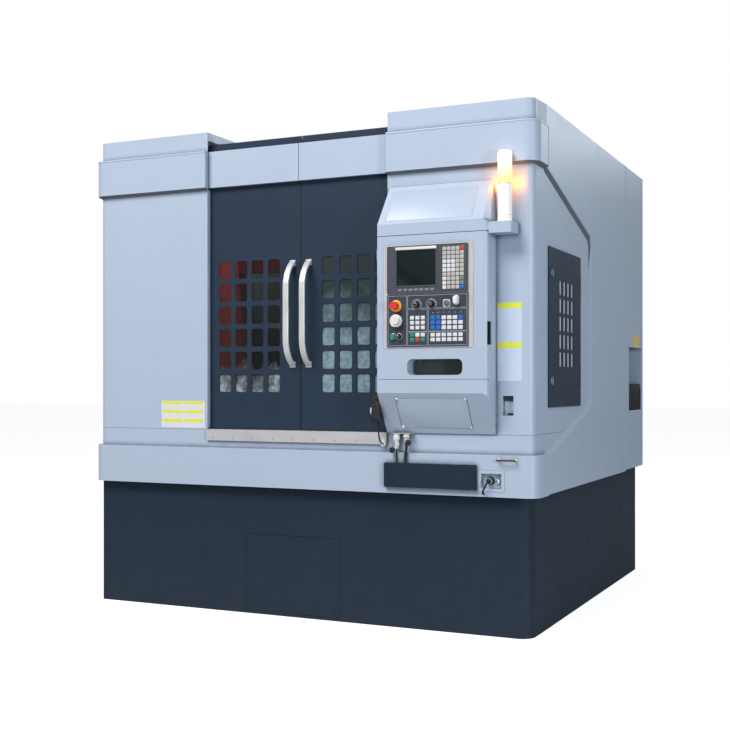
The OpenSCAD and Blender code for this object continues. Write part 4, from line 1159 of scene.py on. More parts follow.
def build_connectors():
    """Flange plate with two lead sockets, their nuts and their hanging dust caps."""
    piece = Piece("lead_connectors", "machine", "anodised", white_plastic, anodised, black_rubber)
    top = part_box("console_connectors")[1].z
    y = FACE_Y - 0.032
    piece.block((CON_X0 + 0.040, FACE_Y - 0.050, top - 0.003), (CON_X0 + 0.146, FACE_Y, top), 0.0008, 1)
    dust_cap = [(0.0, 0), (0.0135, 0), (0.0148, 0.0015), (0.0148, 0.009), (0.0130, 0.0125),
                (0.0040, 0.0140), (0, 0.0140)]
    for x, foot, r, cap in ((CON_X0 + 0.062, 0.906, 0.016, (-0.016, 0.899)),
                            (CON_X0 + 0.116, 0.934, 0.014, (0.017, 0.937))):
        tall = top - 0.003 - foot
        barrel = [(r * 0.55, 0), (r * 0.62, 0.002), (r * 0.62, tall * 0.16), (r * 0.80, tall * 0.20),
                  (r * 0.80, tall * 0.46), (r * 0.70, tall * 0.50), (r * 0.70, tall * 0.54),
                  (r * 1.00, tall * 0.58), (r * 1.08, tall * 0.64), (r * 1.08, tall * 0.82),
                  (r * 0.96, tall * 0.88), (r * 0.96, tall)]
        piece.turned(barrel, (x, y, foot), UP, 0, 36)
        ribs = [(r * 0.86, 0), (r * 0.86, tall * 0.20)]
        piece.turned(ribs, (x, y, foot + tall * 0.23), UP, 1, 36, lobes=18, depth=0.10)
        cx, cz = x + cap[0], cap[1]
        piece.turned(dust_cap, (cx, y - 0.014, cz), FRONT, 2, 28, lobes=12, depth=0.05)
        strap = [(x, y - 0.006, foot + tall * 0.50), (x + cap[0] * 0.5, y - 0.020, (foot + cz) / 2 + 0.030),
                 (cx, y - 0.018, cz + 0.014)]
        piece.tube(smooth_path(strap, 6), 0.0012, 2, 8)
    made = piece.done()
    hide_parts("console_connectors")
    return made


def build_lead_tie():
    """White tie that hangs from the pendant's lead."""
    piece = Piece("lead_tie", "machine", "white_plastic", white_plastic)
    x, y = CON_X0 - 0.018, FACE_Y - 0.0135
    piece.sheet([(x - 0.006, 0.953), (x - 0.015, 0.913), (x - 0.006, 0.916), (x + 0.001, 0.911),
                 (x + 0.012, 0.915), (x + 0.005, 0.953)], 0.0012, 0.0004, 0, front(y))
    tie_ring = [(0.0054, 0), (0.0060, 0.001), (0.0060, 0.004), (0.0054, 0.005)]
    piece.turned(tie_ring, (x, y + 0.0012, 0.927), FRONT, 0, 20)
    return piece.done()


case_black = plastic("case_black", (0.020, 0.021, 0.024), 0.5)


def build_pendant():
    """Hand pendant: rounded case, switches, strain relief and grooved wheel."""
    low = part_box("pendant")[0]
    case_high = Vector((CON_X0 - 0.0012, FACE_Y - 0.026, low.z + 0.139))
    piece = Piece("pendant_case", "machine", "black_plastic", black_plastic, case_black, line_white)
    piece.block(low, case_high, 0.0050, 0, 3)
    piece.block((CON_X0 - 0.002, FACE_Y - 0.030, low.z + 0.090), (CON_X0, FACE_Y - 0.010, low.z + 0.130),
                0.0006, 1)
    y = low.y
    middle = (low.x + case_high.x) / 2
    piece.plate(low.x + 0.006, low.z + 0.012, case_high.x - 0.006, case_high.z - 0.010, 0.003, 3, 0.0006,
                0.0002, 1, y)
    knob = [(0.0062, 0), (0.0062, 0.003), (0.0050, 0.0042), (0, 0.0042)]
    for z in (low.z + 0.112, low.z + 0.086):
        piece.turned(knob, (middle - 0.007, y, z), FRONT, 0, 20, lobes=10, depth=0.08)
        piece.block((middle - 0.0078, y - 0.0052, z - 0.0055), (middle - 0.0062, y - 0.004, z), 0, 2)
    cap = [(0.0060, 0), (0.0060, 0.004), (0.0048, 0.0060), (0, 0.0060)]
    piece.turned(cap, (middle + 0.009, y, low.z + 0.112), FRONT, 0, 20)
    dial = centre_of("pendant_dial")
    piece.disc(0.0300, 0.0004, (low.x, dial.y, dial.z), LEFT, 1, 48)
    ports = [(0.0085, 0), (0.0085, 0.0030), (0.0072, 0.0045), (0.0072, 0.0080), (0.0064, 0.0095),
             (0.0064, 0.0130), (0.0056, 0.0145), (0.0056, 0.0180), (0.0044, 0.0200)]
    piece.turned(ports, (CON_X0 - 0.022, FACE_Y - 0.066, low.z), DOWN, 0, 24)
    made = piece.done()
    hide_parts("pendant")
    wheel = Piece("pendant_wheel", "pendant_dial", "white_plastic", white_plastic, shadow_black)
    spot = (low.x, dial.y, dial.z)
    wheel_rim = [(0.0058, -0.0030), (0.0058, 0.0003), (0.0245, 0.0004), (0.0250, 0.0010), (0.0250, 0.0100),
                 (0.0240, 0.0125), (0.0225, 0.0137), (0.0170, 0.0120), (0, 0.0120)]
    wheel.turned(wheel_rim, spot, LEFT, 0, 120, lobes=40, depth=0.035)
    finger_knob = [(0.0050, 0), (0.0050, 0.0016), (0.0042, 0.0022), (0, 0.0022)]
    wheel.turned(finger_knob, (low.x - 0.0118, dial.y - 0.0120, dial.z), LEFT, 1, 20)
    made = wheel.done()
    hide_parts("pendant_dial")
    return made


def build_socket():
    """Service socket: plug with its gland, a round port, screws and the recess floor."""
    piece = Piece("service_socket", "machine", "anodised", inner_paint, black_plastic, white_plastic, brass,
                  blue_plastic, shadow_black)
    low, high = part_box("socket_plate")
    x, z = (low.x + high.x) / 2, (low.z + high.z) / 2
    skin = FACE_Y - PROUD
    floor_y = skin + 0.0228
    piece.plate(x - 0.0515, z - 0.0355, x + 0.0515, z + 0.0355, 0.002, 2, 0.0012, 0.0004, 0, floor_y)
    piece.plate(x - 0.049, z - 0.033, x + 0.049, z + 0.033, 0.003, 3, 0.0028, 0.0010, 0, floor_y - 0.0012)
    screw = [(0.0042, 0), (0.0042, 0.0012), (0.0030, 0.0026), (0, 0.0028)]
    for sx in (-1, 1):
        for sz in (-1, 1):
            piece.turned(screw, (x + sx * 0.0425, floor_y - 0.0040, z + sz * 0.0270), FRONT, 3, 16)
    plug_x = x - 0.010
    plug_collar = [(0.0215, 0), (0.0222, 0.001), (0.0222, 0.0050), (0.0205, 0.0070), (0.0184, 0.0074)]
    piece.turned(plug_collar, (plug_x, floor_y - 0.0040, z), FRONT, 1, 48, lobes=8, depth=0.02)
    # dark hairlines of painted shade along the recess's sides and top
    for sx in (-1, 1):
        edge = (x + sx * 0.0575, x + sx * 0.0595)
        low_end, high_end = (min(edge), skin - 0.0004, z - 0.0415), (max(edge), skin + 0.0002, z + 0.0415)
        piece.block(low_end, high_end, 0.0001, 5)
    piece.block((x - 0.0575, skin - 0.0004, z + 0.0395), (x + 0.0575, skin + 0.0002, z + 0.0425), 0.0001, 5)
    plug = [(0.0178, 0), (0.0184, 0.001), (0.0184, 0.024), (0.0172, 0.0262), (0.0100, 0.0270),
            (0.0095, 0.0275)]
    piece.turned(plug, (plug_x, skin + 0.0205, z), FRONT, 1, 40, lobes=20, depth=0.03)
    gland = [(0.0098, 0), (0.0102, 0.001), (0.0102, 0.003), (0.0086, 0.0042), (0.0072, 0.0050),
             (0.0052, 0.0054)]
    piece.turned(gland, (plug_x, skin - 0.0062, z), FRONT, 1, 24)
    port_x = x + 0.030
    port_ring = [(0.0128, 0), (0.0132, 0.001), (0.0132, 0.0125), (0.0122, 0.0137), (0.0096, 0.0137)]
    piece.turned(port_ring, (port_x, skin + 0.0222, z), FRONT, 3, 36)
    port = [(0.0100, 0), (0.0100, 0.0142), (0.0080, 0.0150), (0, 0.0150)]
    piece.turned(port, (port_x, skin + 0.0222, z), FRONT, 2, 32)
    piece.sheet([(port_x - 0.0088, z - 0.0042), (port_x - 0.0010, z - 0.0070), (port_x + 0.0002, z),
                 (port_x - 0.0010, z + 0.0070), (port_x - 0.0088, z + 0.0042)], 0.0006, 0.0002, 4,
                front(skin + 0.0074))
    return piece.done()


def build_pull_handle():
    """Small pull handle on the lower band: dark bar between two bright round ends."""
    piece = Piece("pull_handle", "machine", "stainless", black_plastic, brass, stainless)
    low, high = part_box("band_handle")
    x, z = (low.x + high.x) / 2, (low.z + high.z) / 2
    y = low.y + 0.0045
    rose = [(0.0082, 0), (0.0082, 0.002), (0.0068, 0.003), (0.0052, 0.0035)]
    post = [(0.0045, 0), (0.0045, 0.021), (0.0062, 0.0215), (0.0064, 0.0245), (0.0052, 0.0262), (0, 0.0264)]
    for side in (-1, 1):
        end = x + side * 0.042
        piece.turned(rose, (end, FACE_Y - 0.025, z), FRONT, 2, 24)
        piece.turned(post, (end, FACE_Y - 0.0275, z), FRONT, 1, 24)
    grip = [(x - 0.046, y, z), (x - 0.036, y, z), (x, y - 0.0012, z), (x + 0.036, y, z), (x + 0.046, y, z)]
    piece.tube(smooth_path(grip, 5), 0.0042, 0, 16, UP)
    made = piece.done()
    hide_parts("band_handle")
    return made


build_connectors()
build_lead_tie()
build_pendant()
build_socket()
build_pull_handle()


# ---- blank labels -----------------------------------------------------------

FILM = 0.0003


def build_labels():
    """Plain film labels: two pale ones with yellow bars and a small amber one, all blank."""
    right = Piece("right_label", "machine", "white_plastic", film_blue, label_yellow)
    low = (CON_X1 + 0.006, 1.243)
    right.plate(low[0], low[1], low[0] + 0.122, 1.621, 0.003, 3, FILM, 0, 0, FACE_Y)
    for z in (1.594, 1.402):
        right.plate(low[0] + 0.001, z, low[0] + 0.121, z + 0.026, 0.001, 2, FILM, 0, 1, FACE_Y - FILM)
    right.done()
    left = Piece("left_label", "machine", "white_plastic", label_white, label_yellow)
    x0, z0 = LEFT_CAB[1].x - 0.300, 0.990
    left.plate(x0, z0, x0 + 0.283, z0 + 0.147, 0.003, 3, FILM, 0, 0, FACE_Y)
    for column in range(2):
        for row in range(3):
            x = x0 + 0.008 + 0.138 * column
            z = z0 + 0.031 + 0.049 * row
            left.plate(x, z, x + 0.129, z + 0.016, 0.001, 2, FILM, 0, 1, FACE_Y - FILM)
    left.done()
    low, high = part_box("electrical_cabinet")
    small = Piece("side_label", "machine", "white_plastic", label_amber, label_white)
    y0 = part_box("side_pocket")[0].y + 0.135
    small.sheet(rounded(y0, 1.471, y0 + 0.165, 1.549, 0.004, 3), FILM, 0, 0, right_side(high.x))
    small.sheet(rounded(y0 + 0.006, 1.474, y0 + 0.159, 1.477, 0.001, 2), 0.0002, 0, 1,
                right_side(high.x + FILM))
    small.done()


film_blue = plastic("film_blue", (0.60, 0.70, 0.84), 0.45, 600.0, 0.05)
build_labels()


# ---- finger recess on the right cabinet -------------------------------------

def build_recess():
    """Dark upper plate of painted shade under the recess's top, and a low turn lock inside the small recess
    of the right cabinet.
    """
    piece = Piece("recess_lock", "machine", "black_plastic", bezel_dark, black_plastic, inner_paint)
    x0, x1 = RIGHT_CAB[0].x + 0.608, RIGHT_CAB[0].x + 0.662
    back = FACE_Y + 0.040
    # dark upper plate: painted shade under the recess's top
    piece.plate(x0 + 0.001, 1.146, x1 - 0.001, 1.170, 0.002, 2, 0.0200, 0.0020, 0, back)
    piece.plate(x0 + 0.001, 1.077, x1 - 0.001, 1.1455, 0.001, 2, 0.0150, 0.0010, 2, back)
    middle = (x0 + x1) / 2 + 0.006
    piece.plate(middle - 0.014, 1.0790, middle + 0.014, 1.0880, 0.0042, 4, 0.0060, 0.0020, 1, back - 0.015)
    piece.plate(middle - 0.010, 1.0812, middle + 0.010, 1.0852, 0.0018, 4, 0.0012, 0.0004, 0, back - 0.021)
    return piece.done()


build_recess()


# ---- side vent door ---------------------------------------------------------

def build_vent():
    """Pleated filter behind the vent door, in a steel frame."""
    piece = Piece("vent_filter", "vent_door", "anodised", filter_mesh, ground_steel)
    x = VENT[0].x
    y0, y1 = VENT[0].y + 0.175, VENT[0].y + 0.490
    z0, z1 = VENT[0].z + 0.185, VENT[0].z + 0.665
    fold = [(y0, 0.0)]
    count = 42
    for k in range(count):
        y = y0 + (y1 - y0) * (k + 0.5) / count
        fold += [(y, 0.0035), (y0 + (y1 - y0) * (k + 1) / count, 0.0)]
    outline = fold + [(y, h + 0.0012) for y, h in reversed(fold)]
    piece.sheet(outline, z1 - z0, 0, 0, placing((x - 0.0004, 0, z0), REAR, LEFT, UP))
    outer = rounded(y0 - 0.006, z0 - 0.006, y1 + 0.006, z1 + 0.006, 0.004, 3)
    inner = rounded(y0, z0, y1, z1, 0.002, 3)
    piece.sheet(outer, 0.0050, 0.0006, 1, right_side(x - 0.0053), hole=inner)
    piece.done()


def build_latch(name, body, replaced):
    """Quarter-turn latch: bright round body with a wing grip."""
    piece = Piece(name, body, "black_plastic", ground_steel, shadow_black)
    low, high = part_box(replaced)
    y, z = (low.y + high.y) / 2, (low.z + high.z) / 2
    x = low.x
    latch_body = [(0.0119, 0), (0.0119, 0.0050), (0.0176, 0.0052), (0.0180, 0.0062), (0.0176, 0.0080),
                  (0.0150, 0.0090), (0.0105, 0.0094), (0.0100, 0.0086), (0, 0.0086)]
    piece.turned(latch_body, (x, y, z), RIGHT, 0, 40)
    piece.block((x + 0.0080, y - 0.0034, z - 0.0215), (x + 0.0157, y + 0.0034, z + 0.0215), 0.0026, 0, 3)
    piece.disc(0.0042, 0.0004, (x + 0.0155, y, z + 0.011), RIGHT, 1, 16)
    made = piece.done()
    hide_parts(replaced)


filter_mesh = metal("filter_mesh", (0.46, 0.50, 0.55), 0.5, (300.0, 300.0, 300.0), metallic=0.2)
build_vent()
build_latch("upper_catch", "upper_latch", "upper_latch")
build_latch("lower_catch", "lower_latch", "lower_latch")


# ---- rear pocket with the air service unit ----------------------------------

def build_air_unit():
    """Bin and air service unit: valve block, blue and white bowls, gauge, black and orange knobs."""
    piece = Piece("air_unit", "machine", "air_unit_grey", bin_green, air_blue, white_plastic, black_plastic,
                  orange_plastic, anodised, bin_violet)
    low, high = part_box("side_pocket")
    foot = low.z
    y0, y1 = low.y, high.y
    inner, wall = high.x, 0.0040

    def shell(inset, radius):
        """Outline of the bin, drawn in by the inset."""
        return rounded(low.x + inset, y0 + inset, inner - inset, y1 - inset, radius, 4)

    # bin: rounded shell with an open top and a rolled rim
    on_foot = Matrix.Translation((0, 0, foot))
    piece.sheet(shell(0, 0.012), 0.165, 0.001, 0, on_foot, hole=shell(wall, 0.009))
    piece.sheet(shell(0, 0.012), 0.005, 0.0, 0, on_foot)
    rim = shell(0.001, 0.011)
    piece.tube([(x, y, foot + 0.1655) for x, y in rim + rim[:1]], 0.0022, 0, 8)
    for k in range(5):
        y = y0 + 0.040 + 0.072 * k
        piece.block((inner - 0.0006, y, foot + 0.020), (inner + 0.0014, y + 0.046, foot + 0.140), 0.0006, 0)
    piece.sheet(shell(-0.0004, 0.0124), 0.070, 0.0004, 6, Matrix.Translation((0, 0, foot + 0.092)),
                hole=shell(0.0006, 0.0114))
    # valve block on the pocket's back wall
    back = low.x
    piece.block((back, y0 + 0.088, foot + 0.250), (back + 0.120, y0 + 0.278, foot + 0.330), 0.004, 5, 3)
    bowl_x = back + 0.130
    bowl_side = [(0.010, 0), (0.014, 0.004), (0.026, 0.010), (0.0310, 0.024), (0.0310, 0.058),
                 (0.0318, 0.062)]
    bowl_head = [(0.0318, 0), (0.0318, 0.010), (0.030, 0.014), (0.0318, 0.018), (0.0318, 0.070),
                 (0.030, 0.074)]
    for y, bowl in ((y0 + 0.128, 1), (y0 + 0.233, 2)):
        piece.turned(bowl_side, (bowl_x, y, foot + 0.190), UP, bowl, 36, lobes=12, depth=0.03)
        piece.turned(bowl_head, (bowl_x, y, foot + 0.252), UP, 1 if bowl == 1 else 5, 36)
    black_knob = [(0.0240, 0), (0.0250, 0.002), (0.0250, 0.030), (0.0225, 0.0375), (0, 0.0385)]
    piece.turned(black_knob, (bowl_x, y0 + 0.233, foot + 0.326), UP, 3, 40, lobes=20, depth=0.06)
    orange_knob = [(0.0210, 0), (0.0220, 0.002), (0.0220, 0.014), (0.0190, 0.018), (0, 0.018)]
    piece.turned(orange_knob, (bowl_x, y0 + 0.128, foot + 0.326), UP, 4, 40, lobes=16, depth=0.05)
    gauge = (bowl_x + 0.031, y0 + 0.233, foot + 0.292)
    gauge_case = [(0.0190, 0), (0.0190, 0.012), (0.0180, 0.0135), (0.0165, 0.0135), (0.0165, 0.0120),
                  (0, 0.0120)]
    piece.turned(gauge_case, gauge, RIGHT, 3, 36)
    piece.disc(0.0160, 0.0004, (gauge[0] + 0.0120, gauge[1], gauge[2]), RIGHT, 2, 32)
    piece.block((gauge[0] + 0.0124, gauge[1] - 0.0004, gauge[2]), (gauge[0] + 0.0130, gauge[1] + 0.0004,
                                                                   gauge[2] + 0.012), 0, 3)
    # air line along the back wall
    line = [(back + 0.030, y0 + 0.278, foot + 0.290), (back + 0.030, y0 + 0.300, foot + 0.290),
            (back + 0.024, y0 + 0.322, foot + 0.280), (back + 0.014, y0 + 0.330, foot + 0.250),
            (back + 0.012, y0 + 0.332, foot + 0.200), (back + 0.012, y0 + 0.332, foot + 0.172)]
    piece.tube(smooth_path(line, 6), 0.0040, 1, 12, (1, 0.1, 0))
    made = piece.done()
    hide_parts("side_pocket")


bin_green = plastic("bin_green", (0.006, 0.011, 0.010), 0.8, worn=0.0)
bin_violet = plastic("bin_violet", (0.016, 0.008, 0.040), 0.8, worn=0.0)
air_blue = plastic("air_blue", (0.030, 0.21, 0.55), 0.25)
build_air_unit()


# ---- work area --------------------------------------------------------------

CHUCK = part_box("chuck")
CHUCK_X, CHUCK_Y = (CHUCK[0].x + CHUCK[1].x) / 2, (CHUCK[0].y + CHUCK[1].y) / 2
CHUCK_TOP = CHUCK[1].z


def build_chuck():
    """Scribed rings, slot screws and balance holes on the chuck's face and rim."""
    piece = Piece("chuck_details", "chuck", "ground_steel", ground_steel, shadow_black, tool_steel)
    middle = (CHUCK_X, CHUCK_Y)
    for r in (0.060, 0.100, 0.150, 0.200):
        scribed = [(r - 0.0006, 0), (r - 0.0006, 0.0002), (r + 0.0006, 0.0002), (r + 0.0006, 0)]
        piece.turned(scribed, (*middle, CHUCK_TOP), UP, 1, 72)
    screw = [(0.0085, 0), (0.0085, 0.0006), (0.0060, 0.0010), (0, 0.0010)]
    for k in range(3):
        for side in (-1, 1):
            for r in (0.125, 0.185, 0.222):
                angle = math.radians(90 + 120 * k) + side * 0.058 / r
                spot = (middle[0] + r * math.cos(angle), middle[1] + r * math.sin(angle), CHUCK_TOP)
                piece.turned(screw, spot, UP, 0, 20)
                piece.disc(0.0045, 0.0014, spot, UP, 1, 6)
    rim = (CHUCK[1].x - CHUCK[0].x) / 2
    balance_hole = [(0.0110, 0), (0.0110, 0.0012), (0.0080, 0.0016), (0.0080, 0.0004), (0, 0.0004)]
    for k in range(12):
        angle = math.radians(30 * k + 15)
        out = Vector((math.cos(angle), math.sin(angle), 0))
        spot = Vector((*middle, CHUCK_TOP - 0.052)) + out * rim
        piece.turned(balance_hole, spot, out, 2, 20)
    oil_lip = [(rim + 0.0002, 0), (rim + 0.0016, 0.0014), (rim + 0.0016, 0.0060), (rim + 0.0002, 0.0074)]
    piece.turned(oil_lip, (*middle, CHUCK[0].z + 0.315), UP, 0, 96)
    return piece.done()


def build_jaw(name, body, degrees):
    """Serrated grip face and screw pair of one jaw."""
    piece = Piece(name, body, "tool_steel", tool_steel, shadow_black, ground_steel)
    turn = Matrix.Rotation(math.radians(degrees), 4, "Z")
    turn = Matrix.Translation((CHUCK_X, CHUCK_Y, CHUCK_TOP)) @ turn
    top = 0.0303
    for k in range(8):
        z = top + 0.002 + 0.0028 * k
        piece.block((0.1480, -0.022, z), (0.1502, 0.022, z + 0.0016), 0, 0, place=turn)
    for r in (0.172, 0.208):
        spot = turn @ Vector((r, 0, top + 0.025))
        piece.turned([(0.0100, 0), (0.0100, 0.0007), (0.0070, 0.0010), (0, 0.0010)], spot, UP, 2, 24)
        piece.disc(0.0052, 0.0014, spot, UP, 1, 6)
    return piece.done()


def build_turret():
    """Tool blocks' clamp screws, boring bars and an indexing scale on the turret."""
    piece = Piece("turret_tools", "turret", "tool_steel", ground_steel, shadow_black)
    low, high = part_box("turret")
    x, y = (low.x + high.x) / 2, (low.y + high.y) / 2
    tools_z, ring_z, marks_z = 1.590, 1.655, 1.661
    for k in range(4):
        turn = Matrix.Translation((x, y, tools_z)) @ Matrix.Rotation(math.radians(90 * k + 22.5), 4, "Z")
        for side in (-1, 1):
            spot = turn @ Vector((0.150, side * 0.0150, 0.025))
            piece.turned([(0.0065, 0), (0.0065, 0.004), (0.0055, 0.005), (0, 0.005)], spot, UP, 0, 20)
            piece.disc(0.0032, 0.0055, spot, UP, 1, 6)
        spot = turn @ Vector((0.170, 0, -0.025))
        piece.turned([(0.0128, 0), (0.0128, 0.020), (0.0100, 0.024), (0.0100, 0.026)], spot, UP, 0, 24)
    scale_ring = [(0.1005, 0), (0.1012, 0.002), (0.1012, 0.010), (0.1005, 0.012)]
    piece.turned(scale_ring, (x, y, ring_z), UP, 0, 72)
    for k in range(24):
        turn = Matrix.Translation((x, y, marks_z)) @ Matrix.Rotation(math.radians(15 * k), 4, "Z")
        piece.block((0.1010, -0.0006, -0.003), (0.1016, 0.0006, 0.003), 0, 1, place=turn)
    return piece.done()


def build_drip_ring():
    """Raised rim of the opening under the chuck, and the splash plate's screws."""
    piece = Piece("drip_ring", "machine", "stainless", stainless)
    floor_z = 0.954
    hole = 0.210
    outer = rounded(CHUCK_X - hole - 0.024, CHUCK_Y - hole - 0.024, CHUCK_X + hole + 0.024,
                    CHUCK_Y + hole + 0.024, 0.030, 6)
    inner = rounded(CHUCK_X - hole, CHUCK_Y - hole, CHUCK_X + hole, CHUCK_Y + hole, 0.012, 6)
    piece.sheet(outer, 0.012, 0.002, 0, Matrix.Translation((0, 0, floor_z)), hole=inner)
    screw = [(0.006, 0), (0.006, 0.0012), (0.004, 0.003), (0, 0.003)]
    for side in (-1, 1):
        for k in range(9):
            y = CHUCK_Y - 0.36 + 0.09 * k
            piece.turned(screw, (CHUCK_X + side * 0.535, y, floor_z), UP, 0, 16)
    return piece.done()


build_chuck()
for jaw_name, degrees in (("jaw_a", 90), ("jaw_b", 210), ("jaw_c", 330)):
    build_jaw(jaw_name + "_grip", jaw_name, degrees)
build_turret()
build_drip_ring()


# ---- sill and rear door -----------------------------------------------------

def build_sill():
    """Wiper lip and screws of the stainless door sill."""
    piece = Piece("sill_trim", "machine", "black_rubber", black_rubber, ground_steel, shadow_black)
    low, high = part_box("door_sill")
    for k in range(9):
        x = low.x + 0.045 + (high.x - low.x - 0.09) * k / 8
        screw_head(piece, (x, low.y, 0.938), FRONT, 0.0035, 1, 2)
    piece.block((low.x + 0.004, FACE_Y + 0.0275, high.z),
                (high.x - 0.004, FACE_Y + 0.0310, high.z + 0.0060), 0.0010, 0)
    return piece.done()


def build_rear_door():
    """Louvres, locks and hinge pins of the rear door."""
    piece = Piece("rear_louvres", "cabinet_door", "panel_paint", panel_paint, shadow_black, ground_steel,
                  black_plastic)
    low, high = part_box("cabinet_door")
    y = high.y
    for x0 in (0.10, 0.66):
        for row in range(14):
            z = 0.860 + 0.034 * row
            place = placing((x0, y, z), UP, REAR, RIGHT)
            piece.sheet([(0, 0), (0.024, 0.0), (0.024, 0.0012), (0.0012, 0.0120), (0, 0.0120)], 0.40, 0, 0,
                        place)
            # dark strip of painted shade under each louvre
            piece.block((x0 + 0.006, y, z - 0.0060), (x0 + 0.394, y + 0.0006, z), 0, 1)
    lock = [(0.0150, 0), (0.0150, 0.004), (0.0120, 0.007), (0, 0.007)]
    for z in (0.95, 1.55, 2.25):
        piece.turned(lock, (low.x + 0.045, y, z), REAR, 2, 28)
        piece.block((low.x + 0.041, y + 0.006, z - 0.016), (low.x + 0.049, y + 0.016, z + 0.016), 0.002, 3)
    hinge_pin = [(0.0076, 0), (0.0082, 0.001), (0.0082, 0.005), (0.0076, 0.006)]
    for z in (1.15, 1.85):
        piece.turned(hinge_pin, (high.x - 0.007 if high.x > 1.25 else 1.244, low.y + 0.007, z), UP, 2, 24)
    return piece.done()


build_sill()
build_rear_door()


# ---- roof and feet ----------------------------------------------------------

def build_roof():
    """Screws of the cabinets' roofs."""
    piece = Piece("roof_screws", "machine", "ground_steel", ground_steel, shadow_black)
    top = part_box("left_cabinet")[1].z
    margin, pitch = 0.060, 0.34
    for cabinet in (LEFT_CAB, RIGHT_CAB):
        for x in (cabinet[0].x + margin, cabinet[1].x - margin):
            for k in range(6):
                screw_head(piece, (x, FACE_Y + 0.10 + pitch * k, top), UP, 0.006, 0, 1)
    return piece.done()


def build_feet():
    """Lock nuts and rubber pads of the levelling feet."""
    piece = Piece("foot_pads", "machine", "black_rubber", black_rubber, ground_steel)
    low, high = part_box("levelling_feet")
    pad = 0.055
    rubber_pad = [(0.0550, 0), (0.0565, 0.002), (0.0565, 0.010), (0.0550, 0.012)]
    lock_nut = [(0.0180, 0), (0.0240, 0.003), (0.0240, 0.009), (0.0180, 0.012)]
    for x in (low.x + pad, 0, high.x - pad):
        for y in (low.y + pad, (low.y + high.y) / 2, high.y - pad):
            piece.turned(rubber_pad, (x, y, 0.002), UP, 0, 40)
            piece.turned(lock_nut, (x, y, 0.022), UP, 1, 6)
    return piece.done()


build_roof()
build_feet()


# ---- mounting plate in the rear cabinet -------------------------------------

DUCT_TOOTH = 0.0125


def cable_duct(piece, x0, x1, y, z, depth=0.060, height=0.040):
    """Slotted cable duct with a snap-on lid."""
    piece.block((x0, y, z), (x1, y + 0.003, z + height), 0, 1)
    piece.block((x0, y + depth - 0.004, z - 0.001), (x1, y + depth, z + height + 0.001), 0.0008, 1)
    teeth = int((x1 - x0) / DUCT_TOOTH)
    for k in range(teeth):
        x = x0 + (x1 - x0) * k / teeth
        for level in (z, z + height - 0.0015):
            piece.block((x, y + 0.002, level), (x + 0.0085, y + depth - 0.003, level + 0.0015), 0, 1)


BREAKER = 0.018


def breaker_row(piece, x0, y, z, count):
    """Row of miniature breakers on a rail, with their toggles."""
    piece.block((x0 - 0.020, y, z + 0.025), (x0 + count * BREAKER + 0.020, y + 0.010, z + 0.060), 0.001, 0)
    for k in range(count):
        x = x0 + BREAKER * k
        piece.block((x, y + 0.010, z), (x + 0.0174, y + 0.055, z + 0.085), 0.0012, 2)
        piece.block((x + 0.0004, y + 0.050, z + 0.020), (x + 0.0170, y + 0.072, z + 0.065), 0.0015, 2)
        piece.block((x + 0.0045, y + 0.070, z + 0.040), (x + 0.0129, y + 0.082, z + 0.052), 0.0012, 3)


def build_switch_gear():
    """Mounting plate of the rear cabinet: ducts, breakers, contactors, axis drives and terminals."""
    piece = Piece("switch_gear", "machine", "anodised", anodised, line_white, white_plastic, black_plastic,
                  orange_plastic, earth_green)
    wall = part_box("electrical_cabinet")[0].y + 0.003
    y = wall + 0.018
    x0, x1, z0, z1 = 0.030, 1.020, 0.780, 2.400
    piece.block((x0, y - 0.003, z0), (x1, y, z1), 0.0008, 0)
    for x in (x0 + 0.030, x1 - 0.030):
        for z in (z0 + 0.030, z1 - 0.030):
            piece.turned([(0.006, 0), (0.006, y - wall - 0.003)], (x, wall, z), REAR, 0, 12)
            piece.turned([(0.009, 0), (0.009, 0.004), (0.006, 0.007)], (x, y, z), REAR, 0, 6)
    for z in (0.870, 1.130, 1.640, 1.880, 2.120, 2.340):
        cable_duct(piece, x0 + 0.060, x1 - 0.060, y, z)
    for x in (x0 + 0.012, x1 - 0.052):
        piece.block((x, y, 0.840), (x + 0.040, y + 0.060, 2.385), 0.001, 1)
    breaker_row(piece, 0.150, y, 2.205, 20)
    breaker_row(piece, 0.640, y, 2.205, 12)
    for k in range(9):
        x = 0.140 + 0.058 * k
        piece.block((x, y, 1.955), (x + 0.046, y + 0.085, 2.075), 0.002, 3)
        piece.block((x + 0.006, y + 0.084, 1.975), (x + 0.040, y + 0.095, 2.055), 0.002, 2)
    for k in range(6):
        x = 0.700 + 0.040 * k
        piece.block((x, y, 1.960), (x + 0.028, y + 0.070, 2.040), 0.0015, 2)
        piece.block((x + 0.004, y + 0.069, 1.975), (x + 0.024, y + 0.076, 2.000), 0.001, 4 if k % 2 else 5)
    for wide, x in ((0.150, 0.130), (0.110, 0.130 + 0.185), (0.110, 0.130 + 0.325), (0.090, 0.130 + 0.465)):
        piece.block((x, y, 1.215), (x + wide, y + 0.180, 1.600), 0.004, 2)
        piece.block((x + 0.010, y + 0.178, 1.440), (x + wide - 0.010, y + 0.186, 1.580), 0.002, 3)
        for fin in range(9):
            z = 1.240 + 0.018 * fin
            piece.block((x + 0.012, y + 0.178, z), (x + wide - 0.012, y + 0.184, z + 0.008), 0.001, 3)
    piece.block((0.750, y, 1.230), (0.900, y + 0.110, 1.420), 0.004, 0)
    piece.block((0.775, y + 0.012, 1.225), (0.875, y + 0.140, 1.425), 0.006, 4)
    piece.block((0.750, y, 1.460), (0.900, y + 0.060, 1.590), 0.002, 0)
    for k in range(70):
        x = 0.120 + 0.0112 * k
        colour = (2, 2, 5, 1)[k % 4]
        piece.block((x, y + 0.008, 0.975), (x + 0.0104, y + 0.050, 1.035), 0.0006, colour, 1)
        for z in (0.986, 1.024):
            screw = (x + 0.0052, y + 0.0500, z)
            piece.turned([(0.0026, 0), (0.0026, 0.001), (0, 0.0012)], screw, REAR, 0, 8)
    return piece.done()


